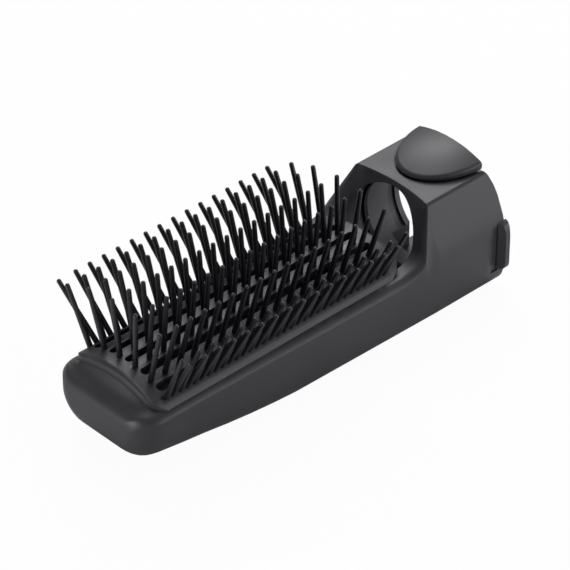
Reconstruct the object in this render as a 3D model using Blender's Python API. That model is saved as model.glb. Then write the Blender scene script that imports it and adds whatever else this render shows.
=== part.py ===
"""Vented brush head of a hot air brush: a long tray with a crowned, slotted pin bed and
a socket collar that slips over the round nose of the blower handle.

Frame: metres, +Z up, +X from the closed tip to the open socket end, +Y across.
The origin is at the middle of the length, on the plane that the underside rests on.
A station is a distance along X from the closed tip.
"""

import bpy
import bmesh
from math import cos, pi, radians, sin, sqrt
from mathutils import Vector

# Housing: overall form
BODY_LENGTH = 0.1739
TIP_HALF_WIDTH = 0.0240
COLLAR_HALF_WIDTH = 0.0263
TIP_CORNER_RADIUS = 0.0102
RIM_HEIGHT = 0.0266
COLLAR_HEIGHT = 0.0475
COLLAR_LENGTH = 0.0323
COLLAR_TOP_HALF_WIDTH = 0.0180
KNEE_HEIGHT = 0.0280
KNEE_SOFTNESS = 0.0040
BOTTOM_EDGE_RADIUS = 0.0085
TIP_EDGE_EXTRA = 0.0060
EDGE_HEIGHT_SHARE = 0.8
SHOULDER_SIZE = 0.0024
COLLAR_EDGE_SIZE = 0.0009
TIP_TOP_RADIUS = 0.0052
TIP_BOTTOM_RADIUS = 0.0065
SLED_START = 0.0730
SLED_RISE = 0.0075
WIDTH_START = 0.0270
COLLAR_START = BODY_LENGTH - COLLAR_LENGTH

# Housing: front of the arch, measured forwards and down from the collar's top
LIP_RUN = 0.0012
LIP_DROP = 0.0024
LIP_BEND_RUN = 0.0004
FRONT_RUN = 0.0070
SWEEP_BEND_RUN = 0.0031
SWEEP_RUN = 0.0130
SWEEP_RISE = 0.0064
FRONT_BOW = 0.0022
TOP_STEPS = 10
REAR_LEAN = 0.0024
REAR_LEAN_DROP = 0.0070
REAR_EDGE_SIZE = 0.0006
LIP_START = COLLAR_START - LIP_RUN
LIP_HEIGHT = COLLAR_HEIGHT - LIP_DROP
LIP_CORNER = COLLAR_START - LIP_BEND_RUN
SWEEP_END = COLLAR_START - FRONT_RUN
SWEEP_END_HEIGHT = RIM_HEIGHT + SWEEP_RISE
SWEEP_CORNER = SWEEP_END - SWEEP_BEND_RUN
SWEEP_START = SWEEP_CORNER - SWEEP_RUN
REAR_LEAN_START = COLLAR_HEIGHT - REAR_LEAN_DROP

# Fits and mesh fineness
FIT = 0.0003
OVERRUN = 0.0020
ROUND_STEPS = 48
CORNER_STEPS = 6

# Bristle plate: it lies in the rim, and its pocket and the chamber follow it
PLATE_START = 0.0075
PLATE_REAR_GAP = 0.0136
RIM_WIDTH = 0.0018
SEAT_DEPTH = 0.0026
PLATE_TIP_CORNER = 0.0070
PLATE_REAR_CORNER = 0.0090
PLATE_EDGE_RISE = 0.0030
PLATE_SHOULDER_RISE = 0.00205
PLATE_CROWN_RADIUS = 0.0403
PLATE_EDGE_SIZE = 0.0026
PLATE_END_SIZE = 0.0020
PLATE_END_FALL = 0.0018
PLATE_SKIN = 0.0024
PLATE_RIB_WIDTH = 0.0030
PLATE_RIBS = 3
SLOT_COUNT = 5
SLOT_WIDTH = 0.0032
SLOT_TIP_MARGIN = 0.0063
SLOT_REAR_MARGIN = 0.0048
EDGE_LAND = 0.00215
STRIP_WIDTH = 0.0023
STRIP_HEIGHT = 0.0011
STRIP_END_MARGIN = 0.0022
PLATE_END = COLLAR_START - PLATE_REAR_GAP
PLATE_HALF_WIDTH = TIP_HALF_WIDTH - RIM_WIDTH - FIT
SEAT_HEIGHT = RIM_HEIGHT - SEAT_DEPTH
PLATE_EDGE_HEIGHT = SEAT_HEIGHT + PLATE_EDGE_RISE
PLATE_CROWN_RISE = PLATE_HALF_WIDTH ** 2 / (2 * PLATE_CROWN_RADIUS)
PLATE_CROWN_HEIGHT = PLATE_EDGE_HEIGHT + PLATE_SHOULDER_RISE + PLATE_CROWN_RISE
LAND_PITCH = (PLATE_HALF_WIDTH - EDGE_LAND) * 2 / SLOT_COUNT
SLOT_START = PLATE_START + SLOT_TIP_MARGIN
SLOT_END = PLATE_END - SLOT_REAR_MARGIN

# Bead: the tip's rim sweeps up, hollow, to the end of the plate's crown
BEAD_RUN = 0.0049
BEAD_DROP = 0.0007
BEAD_FADE = 0.0045
BEAD_SIDE_MARGIN = 0.0005
BEAD_HOLLOWNESS = 2.2
BEAD_START = PLATE_START - BEAD_RUN
BEAD_REACH = PLATE_HALF_WIDTH - BEAD_SIDE_MARGIN

# Pins
ROW_PITCH = 0.0065
ROW_TIP_MARGIN = 0.0071
ROW_REAR_MARGIN = 0.0094
ROW_ROUNDING_SHARE = 0.01
PIN_SIDES = 6
PIN_ROOT_RADIUS = 0.00110
PIN_TIP_RADIUS = 0.00086
PIN_BLUNT_SHARE = 0.3
PIN_SHOULDER_SHARE = 0.75
INNER_PIN_LENGTH = 0.0239
INNER_PIN_LEAN = 5.0
MIDDLE_PIN_LENGTH = 0.0242
MIDDLE_PIN_LEAN = 15.5
SIDE_PIN_LENGTH = 0.0241
SIDE_PIN_LEAN = 24.0
OUTER_PIN_LENGTH = 0.0264
OUTER_PIN_LEAN = 31.9
OUTER_PIN_RAKE = -8.1
OUTER_ROW_SHIFT = 0.0031
END_ROW_RAKE = 3.0
FIRST_ROW = PLATE_START + ROW_TIP_MARGIN
ROW_COUNT = 1 + int((PLATE_END - ROW_REAR_MARGIN - FIRST_ROW) / ROW_PITCH + ROW_ROUNDING_SHARE)

# Housing: hollows, whose bore fills the collar between its top skin and a floor
WALL = 0.0024
CHAMBER_TIP_LEDGE = 0.0075
CHAMBER_REAR_LEDGE = 0.0018
CHAMBER_SIDE_LEDGE = 0.0016
DUCT_LEAD = 0.0040
SEAT_TOP_SKIN = 0.0012
SEAT_FLOOR = 0.0073
SEAT_SETBACK = 0.0041
SEAT_STEP = 0.0006
SOCKET_DEPTH = 0.0095
SOCKET_WALL = 0.0016
SOCKET_TOP_SKIN = 0.0018
KEY_POCKET_LENGTH = 0.0100
KEY_POCKET_HALF_WIDTH = 0.0125
KEY_POCKET_FLOOR = 0.0030
TUBE_WALL = 0.0016
CORE_SETBACK = 0.0013
CORE_TOP_DROP = 0.0085
NOTCH_LENGTH = 0.0079
NOTCH_WIDTH = 0.0098
NOTCH_HIGH = 0.0178
CHAMBER_START = PLATE_START + CHAMBER_TIP_LEDGE
CHAMBER_END = PLATE_END - CHAMBER_REAR_LEDGE
DUCT_START = PLATE_END - DUCT_LEAD
BORE_HEIGHT = (COLLAR_HEIGHT - SEAT_TOP_SKIN + SEAT_FLOOR) / 2
SEAT_RADIUS = (COLLAR_HEIGHT - SEAT_TOP_SKIN - SEAT_FLOOR) / 2
SEAT_START = COLLAR_START + SEAT_SETBACK
DUCT_RADIUS = SEAT_RADIUS - SEAT_STEP
SOCKET_START = BODY_LENGTH - SOCKET_DEPTH
SOCKET_TOP = COLLAR_HEIGHT - SOCKET_TOP_SKIN
KEY_POCKET_START = SOCKET_START - KEY_POCKET_LENGTH
CORE_START = SEAT_START + CORE_SETBACK
CORE_TOP = COLLAR_HEIGHT - CORE_TOP_DROP
NOTCH_START = BODY_LENGTH - NOTCH_LENGTH
NOTCH_INNER = COLLAR_HALF_WIDTH - NOTCH_WIDTH

# Grip ear and shallow recess on the near side of the socket end
EAR_OVERHANG = 0.0009
EAR_LENGTH = 0.0045
EAR_PROUD = 0.0027
EAR_FRONT_SLOPE = 0.0016
EAR_REAR_EDGE = 0.0008
EAR_LOW = 0.0085
EAR_HIGH = 0.0290
EAR_FLAT_LOW_SHARE = 0.18
EAR_FLAT_HIGH_SHARE = 0.66
RECESS_LENGTH = 0.0029
RECESS_DEPTH = 0.0006
RECESS_SLOPE = 0.0010
RECESS_DROP = 0.0010
EAR_END = BODY_LENGTH + EAR_OVERHANG
EAR_START = EAR_END - EAR_LENGTH
RECESS_START = EAR_START - RECESS_LENGTH

# Coupling: sleeve, seal and retaining ring
SLEEVE_WALL = 0.0009
SEAL_BORE_INSET = 0.0003
SEAL_THICKNESS = 0.0016
RING_LENGTH = 0.0022
GROOVE_LENGTH = 0.0040
RING_STEP = 0.0004
SLEEVE_RADIUS = SEAT_RADIUS - FIT - SLEEVE_WALL
RING_START = SOCKET_START - RING_LENGTH
SLEEVE_END = RING_START - GROOVE_LENGTH
RING_RADIUS = SLEEVE_RADIUS + RING_STEP

# Release button: its legs, springs and plunger are placed from its centre
BUTTON_REAR_GAP = 0.0027
BUTTON_CENTRE_AFT = 0.0008
BUTTON_REACH = 0.0238
BUTTON_HALF_WIDTH = 0.0163
BUTTON_DRAFT = 0.0002
BUTTON_CROWN_RISE = 0.0061
BUTTON_FRONT_FALL = 0.0044
BUTTON_SIDE_FALL = 0.0030
BUTTON_RIM_DROP = 0.0008
BUTTON_RIM_SHARE = 0.94
BUTTON_WALL = 0.0016
DOME_RING_SHARES = (0.2, 0.4, 0.6, 0.8, BUTTON_RIM_SHARE, 0.97, 1.0)
BUTTON_TRAVEL = 0.0010
BUTTON_POCKET_DEPTH = 0.0008
PLUNGER_RADIUS = 0.0020
PLUNGER_SETBACK = 0.0048
PLUNGER_HOLE_GAP = 0.0004
PLUNGER_REACH = 0.0003
LEG_SETBACK = 0.0105
LEG_SPREAD = 0.0110
LEG_LENGTH_X = 0.0040
LEG_THICKNESS = 0.0018
LEG_DEPTH = 0.0022
SPRING_SETBACK = 0.0105
SPRING_SPREAD = 0.0070
SPRING_RADIUS = 0.0016
SPRING_WIRE_RADIUS = 0.00025
SPRING_TURNS = 4
SPRING_SIDES = 6
SPRING_TURN_STEPS = 10
SPRING_POCKET_DEPTH = 0.0006
BUTTON_REAR = BODY_LENGTH - BUTTON_REAR_GAP
BUTTON_CENTRE = BUTTON_REAR + BUTTON_CENTRE_AFT
PLUNGER_STATION = BUTTON_CENTRE - PLUNGER_SETBACK
LEG_STATION = BUTTON_CENTRE - LEG_SETBACK
SPRING_STATION = BUTTON_CENTRE - SPRING_SETBACK


def clear_scene():
    for old in list(bpy.data.objects):
        bpy.data.objects.remove(old, do_unlink=True)


def at(station):
    """X coordinate of a station: the ear's end is the last of the whole length."""
    return station - EAR_END / 2


def material(name, colour, roughness, metallic=0.0):
    mat = bpy.data.materials.new(name)
    mat.use_nodes = True
    shader = mat.node_tree.nodes["Principled BSDF"]
    shader.inputs["Base Color"].default_value = (*colour, 1.0)
    shader.inputs["Roughness"].default_value = roughness
    shader.inputs["Metallic"].default_value = metallic
    return mat


def add_object(name, mesh, mat=None, smooth_degrees=35):
    obj = bpy.data.objects.new(name, mesh)
    bpy.context.collection.objects.link(obj)
    if mat:
        mesh.materials.append(mat)
    mesh.shade_smooth()
    mesh.set_sharp_from_angle(angle=radians(smooth_degrees))
    return obj


def mesh_from(name, points, faces):
    mesh = bpy.data.meshes.new(name)
    mesh.from_pydata([tuple(p) for p in points], [], faces)
    shape = bmesh.new()
    shape.from_mesh(mesh)
    bmesh.ops.recalc_face_normals(shape, faces=shape.faces)
    shape.to_mesh(mesh)
    shape.free()
    return mesh


def loft_mesh(name, rings, striped=False):
    """Closed body through rings of equal point counts, capped at both ends: with one face
    each, or with level strips where the end leans."""
    size = len(rings[0])
    points = [point for ring in rings for point in ring]
    faces = []
    for ring, first in ((rings[0], 0), (rings[-1], len(points) - size)):
        faces += [tuple(first + k for k in face) for face in cap_faces(ring, striped)]
    for row in range(len(rings) - 1):
        for k in range(size):
            following = (k + 1) % size
            low = row * size
            high = low + size
            faces.append((low + k, low + following, high + following, high + k))
    return mesh_from(name, points, faces)


def cap_faces(ring, striped):
    """Faces of an end: one for all, or strips between points that mirror each other."""
    size = len(ring)
    if not striped:
        return [tuple(range(size))]
    high = max(z for _, _, z in ring)
    under = [k for k in range(size // 2) if ring[k][2] < high]
    strips = [(k, k + 1, size - 2 - k, size - 1 - k) for k in under[:-1]]
    return strips + [tuple(range(under[-1], size - under[-1]))]


def joined_mesh(name, parts):
    """Several separate bodies as one mesh, so that one Boolean takes them all."""
    shape = bmesh.new()
    for part in parts:
        shape.from_mesh(part)
    mesh = bpy.data.meshes.new(name)
    shape.to_mesh(mesh)
    shape.free()
    return mesh


def prism_mesh(name, outline, axis, start, end):
    """A flat outline of (u, v) pairs, drawn out from start to end along X or Z."""
    if axis == "X":
        rings = [[(x, u, v) for u, v in outline] for x in (start, end)]
    else:
        rings = [[(u, v, z) for u, v in outline] for z in (start, end)]
    return loft_mesh(name, rings)


def tube_mesh(name, profile, steps=ROUND_STEPS):
    """A ring of revolution about the bore axis: a closed profile of (station, radius)."""
    rings = []
    for k in range(steps):
        turn = 2 * pi * k / steps
        rings.append([(at(s), r * sin(turn), BORE_HEIGHT + r * cos(turn)) for s, r in profile])
    points = [point for ring in rings for point in ring]
    size = len(profile)
    faces = []
    for k in range(steps):
        low = k * size
        high = ((k + 1) % steps) * size
        for j in range(size):
            following = (j + 1) % size
            faces.append((low + j, low + following, high + following, high + j))
    return mesh_from(name, points, faces)


def bore_cutter(name, radius, start, end):
    outline = []
    for k in range(ROUND_STEPS):
        turn = 2 * pi * k / ROUND_STEPS
        outline.append((radius * sin(turn), BORE_HEIGHT + radius * cos(turn)))
    return prism_mesh(name, outline, "X", at(start), at(end))


def box_mesh(name, low, high):
    outline = [(low[1], low[2]), (high[1], low[2]), (high[1], high[2]), (low[1], high[2])]
    return prism_mesh(name, outline, "X", low[0], high[0])


def combine(obj, mesh, operation):
    """Apply one exact Boolean with a body that is thrown away afterwards."""
    tool = bpy.data.objects.new("tool", mesh)
    bpy.context.collection.objects.link(tool)
    change = obj.modifiers.new("combine", "BOOLEAN")
    change.operation = operation
    change.solver = "EXACT"
    change.object = tool
    bpy.context.view_layer.update()
    result = bpy.data.meshes.new_from_object(obj.evaluated_get(bpy.context.evaluated_depsgraph_get()))
    obj.modifiers.clear()
    bpy.data.objects.remove(tool, do_unlink=True)
    kept = list(obj.data.materials)
    obj.data = result
    result.materials.clear()
    for mat in kept:
        result.materials.append(mat)


def cut(obj, mesh):
    combine(obj, mesh, "DIFFERENCE")


def join(obj, mesh):
    combine(obj, mesh, "UNION")


def tidy(obj, smooth_degrees=35):
    """Merge doubled points, dissolve needless ones and set the sharp edges."""
    shape = bmesh.new()
    shape.from_mesh(obj.data)
    bmesh.ops.remove_doubles(shape, verts=shape.verts, dist=FIT / 100)
    bmesh.ops.dissolve_degenerate(shape, edges=shape.edges, dist=FIT / 100)
    shape.to_mesh(obj.data)
    shape.free()
    obj.data.shade_smooth()
    obj.data.set_sharp_from_angle(angle=radians(smooth_degrees))


def ramp(value, low, high):
    return min(max((value - low) / (high - low), 0.0), 1.0)


def quarter_drop(distance, radius):
    """How far a quarter round of this radius falls away at a distance from its end face."""
    run = min(max(distance, 0.0), radius)
    return radius - sqrt(radius ** 2 - (radius - run) ** 2)


def half_width(station):
    share = ramp(station, WIDTH_START, COLLAR_START)
    straight = TIP_HALF_WIDTH + (COLLAR_HALF_WIDTH - TIP_HALF_WIDTH) * share
    return straight - quarter_drop(station, TIP_CORNER_RADIUS)


def underside(station):
    rise = SLED_RISE * (1 - ramp(station, 0, SLED_START)) ** 2
    return rise + quarter_drop(station, TIP_BOTTOM_RADIUS)


def side_at(station, height):
    """Half width of the outside at a height: upright below the knee, leaning in above it."""
    slope = (COLLAR_HALF_WIDTH - COLLAR_TOP_HALF_WIDTH) / (COLLAR_HEIGHT - KNEE_HEIGHT)
    over = height - (KNEE_HEIGHT - KNEE_SOFTNESS)
    if over <= 0:
        return half_width(station)
    if over < 2 * KNEE_SOFTNESS:
        return half_width(station) - slope * over ** 2 / (4 * KNEE_SOFTNESS)
    return half_width(station) - slope * (height - KNEE_HEIGHT)


def top_stations():
    """(station, height) pairs of the top: rim, concave sweep, leaning arch front, collar top."""
    nose = []
    for k in range(CORNER_STEPS + 2):
        turn = pi / 2 * k / (CORNER_STEPS + 1)
        station = TIP_CORNER_RADIUS * (1 - cos(turn))
        nose.append((station, RIM_HEIGHT - quarter_drop(station, TIP_TOP_RADIUS)))
    tray = [WIDTH_START, (WIDTH_START + SLED_START) / 2, SLED_START]
    pairs = nose + [(station, RIM_HEIGHT) for station in tray]
    pairs += soft_corner((SWEEP_START, RIM_HEIGHT), (SWEEP_CORNER, RIM_HEIGHT), (SWEEP_END, SWEEP_END_HEIGHT))
    pairs += soft_corner((LIP_START, LIP_HEIGHT), (LIP_CORNER, COLLAR_HEIGHT), (COLLAR_START, COLLAR_HEIGHT))
    pairs.append((SOCKET_START, COLLAR_HEIGHT))
    pairs.append((BODY_LENGTH - REAR_EDGE_SIZE, COLLAR_HEIGHT))
    pairs.append((BODY_LENGTH, COLLAR_HEIGHT - REAR_EDGE_SIZE))
    return pairs


def bead(station, across):
    """How far the tip's rim is raised in front of the plate's crown."""
    crest = crown(across) - PLATE_END_FALL - BEAD_DROP
    fade = 1 - ramp(abs(across), BEAD_REACH - BEAD_FADE, BEAD_REACH)
    share = ramp(station, BEAD_START, PLATE_START) * (1 - ramp(station, TIP_CORNER_RADIUS, SLOT_START))
    return max(crest - RIM_HEIGHT, 0.0) * fade * share ** BEAD_HOLLOWNESS


def soft_corner(before, corner, after):
    """Points of a soft corner: a curve from one side to the other, drawn to the corner."""
    points = []
    for k in range(CORNER_STEPS + 1):
        t = k / CORNER_STEPS
        a, b, c = (1 - t) ** 2, 2 * t * (1 - t), t ** 2
        points.append(tuple(a * p + b * q + c * r for p, q, r in zip(before, corner, after)))
    return points


def section(station, top, inset=0.0, shoulder=SHOULDER_SIZE):
    """One closed (y, z) outline of the outside at a station, or moved inwards by an inset."""
    low = underside(station) + inset
    high = top - inset
    wide = half_width(station) - inset
    extra = TIP_EDGE_EXTRA * (1 - ramp(station, 0, SLED_START))
    room = (high - low - shoulder) * EDGE_HEIGHT_SHARE
    round_size = min(BOTTOM_EDGE_RADIUS + extra - inset, wide / 2, room)
    half = []
    for k in range(CORNER_STEPS + 1):
        turn = -pi / 2 + pi / 2 * k / CORNER_STEPS
        half.append((wide - round_size + round_size * cos(turn), low + round_size + round_size * sin(turn)))
    start = low + round_size
    finish = high - shoulder
    for k in range(1, CORNER_STEPS):
        height = start + (finish - start) * k / CORNER_STEPS
        half.append((side_at(station, height) - inset, height))
    side_point = (side_at(station, finish) - inset, finish)
    corner = (side_at(station, high) - inset, high)
    top_point = (corner[0] - shoulder, high)
    half += soft_corner(side_point, corner, top_point)
    half += [(top_point[0] * (1 - k / TOP_STEPS), high) for k in range(1, TOP_STEPS)]
    return half + [(0.0, high)] + [(-y, z) for y, z in reversed(half)]


def shoulder_at(top):
    """The rim's shoulder is soft, the collar's edges are crisp."""
    return SHOULDER_SIZE + (COLLAR_EDGE_SIZE - SHOULDER_SIZE) * ramp(top, SWEEP_END_HEIGHT, COLLAR_HEIGHT)


def shift_along(station, top, y, z):
    """The arch front bows back in its middle, and the open end leans in near the top."""
    bow = FRONT_BOW * max(1 - (y / COLLAR_TOP_HALF_WIDTH) ** 2, 0.0)
    bow *= ramp(top, SWEEP_END_HEIGHT, LIP_HEIGHT) * (1 - ramp(station, COLLAR_START, SOCKET_START))
    lean = REAR_LEAN * ramp(z, REAR_LEAN_START, COLLAR_HEIGHT) * ramp(station, SOCKET_START, BODY_LENGTH)
    return bow - lean


def rounded_plan(start, end, half, tip_corner, rear_corner):
    """Plan outline of a plate: (x, y) pairs with round corners at both ends."""
    outline = []
    corners = ((end - rear_corner, half - rear_corner, rear_corner, 0),
               (start + tip_corner, half - tip_corner, tip_corner, 1),
               (start + tip_corner, tip_corner - half, tip_corner, 2),
               (end - rear_corner, rear_corner - half, rear_corner, 3))
    for station, across, radius, quarter in corners:
        for k in range(CORNER_STEPS + 1):
            turn = pi / 2 * (quarter + k / CORNER_STEPS)
            outline.append((at(station) + radius * cos(turn), across + radius * sin(turn)))
    return outline


def button_plan(inset, rear):
    """The button's outline: nearly half an oval, cut off flat towards the socket end."""
    reach = BUTTON_REACH - inset
    half = BUTTON_HALF_WIDTH - inset
    share = (rear - BUTTON_CENTRE) / reach
    turn_at_cut = Vector((share, sqrt(1 - share ** 2))).angle(Vector((1, 0)))
    steps = ROUND_STEPS * 2 // 3
    outline = []
    for k in range(steps + 1):
        turn = turn_at_cut + (2 * pi - 2 * turn_at_cut) * k / steps
        outline.append((at(BUTTON_CENTRE) + reach * cos(turn), half * sin(turn)))
    return outline


def make_housing(mat):
    rings = []
    for station, top in top_stations():
        outline = section(station, top, shoulder=shoulder_at(top))
        outline = [(y, z + bead(station, y) * (z == top)) for y, z in outline]
        rings.append([(at(station) + shift_along(station, top, y, z), y, z) for y, z in outline])
    housing = add_object("housing", loft_mesh("housing", rings, striped=True), mat)
    add_ear(housing)
    cut_tray(housing)
    cut_collar(housing)
    cut_button_seat(housing)
    tidy(housing)
    return housing


def add_ear(housing):
    """A rounded grip ear that stands proud of the near side at the socket end, and the
    shallow recess in front of it."""
    height = EAR_HIGH - EAR_LOW
    flat_low = EAR_LOW + height * EAR_FLAT_LOW_SHARE
    flat_high = EAR_LOW + height * EAR_FLAT_HIGH_SHARE
    root = COLLAR_HALF_WIDTH - SOCKET_WALL / 2
    face = COLLAR_HALF_WIDTH + EAR_PROUD
    outside = face + OVERRUN
    rings = []
    for station, inner in ((RECESS_START - RECESS_SLOPE, COLLAR_HALF_WIDTH + FIT),
                           (RECESS_START + RECESS_SLOPE, COLLAR_HALF_WIDTH - RECESS_DEPTH),
                           (EAR_START + FIT, COLLAR_HALF_WIDTH - RECESS_DEPTH)):
        high = EAR_HIGH - RECESS_DROP
        corners = ((outside, EAR_LOW), (inner, EAR_LOW), (inner, high), (outside, high))
        rings.append([(at(station), -y, z) for y, z in corners])
    cut(housing, loft_mesh("recess", rings))
    rings = []
    for station, proud in ((EAR_START, COLLAR_HALF_WIDTH), (EAR_START + EAR_FRONT_SLOPE, face),
                           (EAR_END - EAR_REAR_EDGE, face), (EAR_END, face - EAR_REAR_EDGE)):
        half = soft_corner((root, EAR_LOW), (proud, EAR_LOW), (proud, flat_low))
        half += soft_corner((proud, flat_high), (proud, EAR_HIGH), (root, EAR_HIGH))
        rings.append([(at(station), -y, z) for y, z in half])
    join(housing, loft_mesh("ear", rings))


def cut_tray(housing):
    """The plate's pocket in the rim and the air chamber under it."""
    pocket = rounded_plan(PLATE_START - FIT, PLATE_END + FIT, PLATE_HALF_WIDTH + FIT,
                          PLATE_TIP_CORNER + FIT, PLATE_REAR_CORNER + FIT)
    cut(housing, prism_mesh("pocket", pocket, "Z", SEAT_HEIGHT, COLLAR_HEIGHT + OVERRUN))
    rings = []
    count = 2 * CORNER_STEPS
    for k in range(count + 1):
        station = CHAMBER_START + (CHAMBER_END - CHAMBER_START) * k / count
        low = underside(station) + WALL
        high = SEAT_HEIGHT + OVERRUN
        wide = PLATE_HALF_WIDTH - CHAMBER_SIDE_LEDGE
        round_size = (BOTTOM_EDGE_RADIUS - WALL) * (1 - underside(station) / SEAT_HEIGHT)
        half = []
        for step in range(CORNER_STEPS + 1):
            turn = -pi / 2 + pi / 2 * step / CORNER_STEPS
            half.append((wide - round_size + round_size * cos(turn),
                         low + round_size + round_size * sin(turn)))
        half.append((wide, high))
        outline = half + [(-y, z) for y, z in reversed(half)]
        rings.append([(at(station), y, z) for y, z in outline])
    cut(housing, loft_mesh("chamber", rings))


def cut_collar(housing):
    """Duct, sleeve seat, square socket, the room around the tube, keyway and corner notch."""
    cut(housing, bore_cutter("duct", DUCT_RADIUS, DUCT_START, SOCKET_START + OVERRUN))
    cut(housing, bore_cutter("seat", SEAT_RADIUS, SEAT_START, SOCKET_START + OVERRUN))
    rings = []
    for station in (SOCKET_START, BODY_LENGTH + OVERRUN):
        outline = section(BODY_LENGTH, SOCKET_TOP + SOCKET_WALL, SOCKET_WALL, COLLAR_EDGE_SIZE)
        rings.append([(at(station), y, z) for y, z in outline])
    cut(housing, loft_mesh("socket", rings))
    rings = []
    for station in (CORE_START, SOCKET_START + OVERRUN):
        outline = section(BODY_LENGTH, CORE_TOP + WALL, WALL, SHOULDER_SIZE)
        rings.append([(at(station), y, z) for y, z in outline])
    room = add_object("room", loft_mesh("room", rings))
    cut(room, bore_cutter("tube", SEAT_RADIUS + TUBE_WALL, CORE_START - OVERRUN, BODY_LENGTH))
    web = KEY_POCKET_HALF_WIDTH + TUBE_WALL
    cut(room, box_mesh("web", (at(CORE_START - OVERRUN), -web, 0.0), (at(BODY_LENGTH), web, BORE_HEIGHT)))
    cut(housing, room.data)
    bpy.data.objects.remove(room, do_unlink=True)
    cut(housing, box_mesh("keyway", (at(KEY_POCKET_START), -KEY_POCKET_HALF_WIDTH, KEY_POCKET_FLOOR),
                          (at(SOCKET_START + OVERRUN), KEY_POCKET_HALF_WIDTH, BORE_HEIGHT)))
    cut(housing, box_mesh("notch", (at(NOTCH_START), NOTCH_INNER, -OVERRUN),
                          (at(BODY_LENGTH + OVERRUN), COLLAR_HALF_WIDTH + OVERRUN, NOTCH_HIGH)))


def cut_button_seat(housing):
    """The button's shallow seat, with its guide slots, spring pockets and plunger hole."""
    floor = COLLAR_HEIGHT - BUTTON_POCKET_DEPTH
    over = COLLAR_HEIGHT + OVERRUN
    seat = button_plan(-FIT, BODY_LENGTH + REAR_EDGE_SIZE)
    cut(housing, prism_mesh("button_seat", seat, "Z", floor, over))
    for side in (-1, 1):
        y = side * LEG_SPREAD
        half_x = LEG_LENGTH_X / 2 + FIT
        half_y = LEG_THICKNESS / 2 + FIT
        deep = floor - LEG_DEPTH
        cut(housing, box_mesh("guide", (at(LEG_STATION) - half_x, y - half_y, deep),
                              (at(LEG_STATION) + half_x, y + half_y, over)))
        well = round_plan(SPRING_STATION, side * SPRING_SPREAD, SPRING_RADIUS + SPRING_WIRE_RADIUS + FIT)
        cut(housing, prism_mesh("well", well, "Z", floor - SPRING_POCKET_DEPTH, over))
    hole = round_plan(PLUNGER_STATION, 0.0, PLUNGER_RADIUS + PLUNGER_HOLE_GAP)
    cut(housing, prism_mesh("hole", hole, "Z", SOCKET_TOP - OVERRUN, over))


def round_plan(station, across, radius, steps=16):
    outline = []
    for k in range(steps):
        turn = 2 * pi * k / steps
        outline.append((at(station) + radius * cos(turn), across + radius * sin(turn)))
    return outline


def crown(across, drop=0.0):
    """Height of the plate's crowned top at a distance from the middle."""
    return PLATE_CROWN_HEIGHT - drop - across ** 2 / (2 * PLATE_CROWN_RADIUS)


def crown_outline(half, edge_size, low, drop):
    """(y, z) outline under a crown: flat below, round shoulders at the sides."""
    reach = half - edge_size
    arc = []
    steps = 2 * CORNER_STEPS
    for k in range(steps + 1):
        y = reach - 2 * reach * k / steps
        arc.append((y, crown(y, drop)))
    left = soft_corner((half, PLATE_EDGE_HEIGHT - drop), (half, crown(half, drop)), arc[0])
    right = [(-y, z) for y, z in reversed(left)]
    return [(half, low)] + left + arc[1:-1] + right + [(-half, low)]


def make_bristle_plate(mat):
    """Crowned vent plate: six lands with a groove for a pin strip each, and five air slots."""
    plan = rounded_plan(PLATE_START, PLATE_END, PLATE_HALF_WIDTH, PLATE_TIP_CORNER, PLATE_REAR_CORNER)
    body = prism_mesh("bristle_plate", plan, "Z", SEAT_HEIGHT + FIT, PLATE_CROWN_HEIGHT + OVERRUN)
    plate = add_object("bristle_plate", body, mat)
    combine(plate, loft_mesh("crown", crown_rings()), "INTERSECT")
    bottom = SEAT_HEIGHT - OVERRUN
    inner_half = PLATE_HALF_WIDTH - PLATE_SKIN
    inner_edge = PLATE_EDGE_SIZE - PLATE_SKIN / 2
    bays = PLATE_RIBS + 1
    start = SLOT_START - PLATE_SKIN / 2
    length = SLOT_END + PLATE_SKIN / 2 - start
    cuts = []
    for bay in range(bays):
        low = start + length * bay / bays + (PLATE_RIB_WIDTH / 2 if bay else 0.0)
        high = start + length * (bay + 1) / bays - (PLATE_RIB_WIDTH / 2 if bay < bays - 1 else 0.0)
        outline = crown_outline(inner_half, inner_edge, bottom, PLATE_SKIN)
        cuts.append(prism_mesh("bay", outline, "X", at(low), at(high)))
    cut(plate, joined_mesh("bays", cuts))
    places = [LAND_PITCH * (k - (SLOT_COUNT - 1) / 2) for k in range(SLOT_COUNT)]
    cut(plate, joined_mesh("slots", [slot_mesh(across) for across in places]))
    cut(plate, joined_mesh("grooves", [strip_mesh(across, FIT) for across in strip_places()]))
    tidy(plate)
    return plate


def crown_rings():
    """Rings of the plate's crowned top, let down round at both ends."""
    places = []
    for k in range(CORNER_STEPS + 1):
        turn = pi / 2 * k / CORNER_STEPS
        run = PLATE_END_SIZE * (1 - cos(turn))
        fall = PLATE_END_FALL * (1 - sin(turn))
        places.append((run, fall))
    lowest = places[0][1]
    ends = [(PLATE_START - OVERRUN, lowest)] + [(PLATE_START + run, fall) for run, fall in places]
    ends += [(PLATE_END - run, fall) for run, fall in reversed(places)] + [(PLATE_END + OVERRUN, lowest)]
    rings = []
    for station, fall in ends:
        outline = crown_outline(PLATE_HALF_WIDTH, PLATE_EDGE_SIZE, SEAT_HEIGHT, 0.0)
        rings.append([(at(station), y, max(z - fall * crown_share(y), SEAT_HEIGHT)) for y, z in outline])
    return rings


def crown_share(across):
    """How much of the end's fall a point takes: all of it in the middle, less at the sides."""
    return (crown(across) - PLATE_EDGE_HEIGHT) / (crown(0.0) - PLATE_EDGE_HEIGHT)


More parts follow.
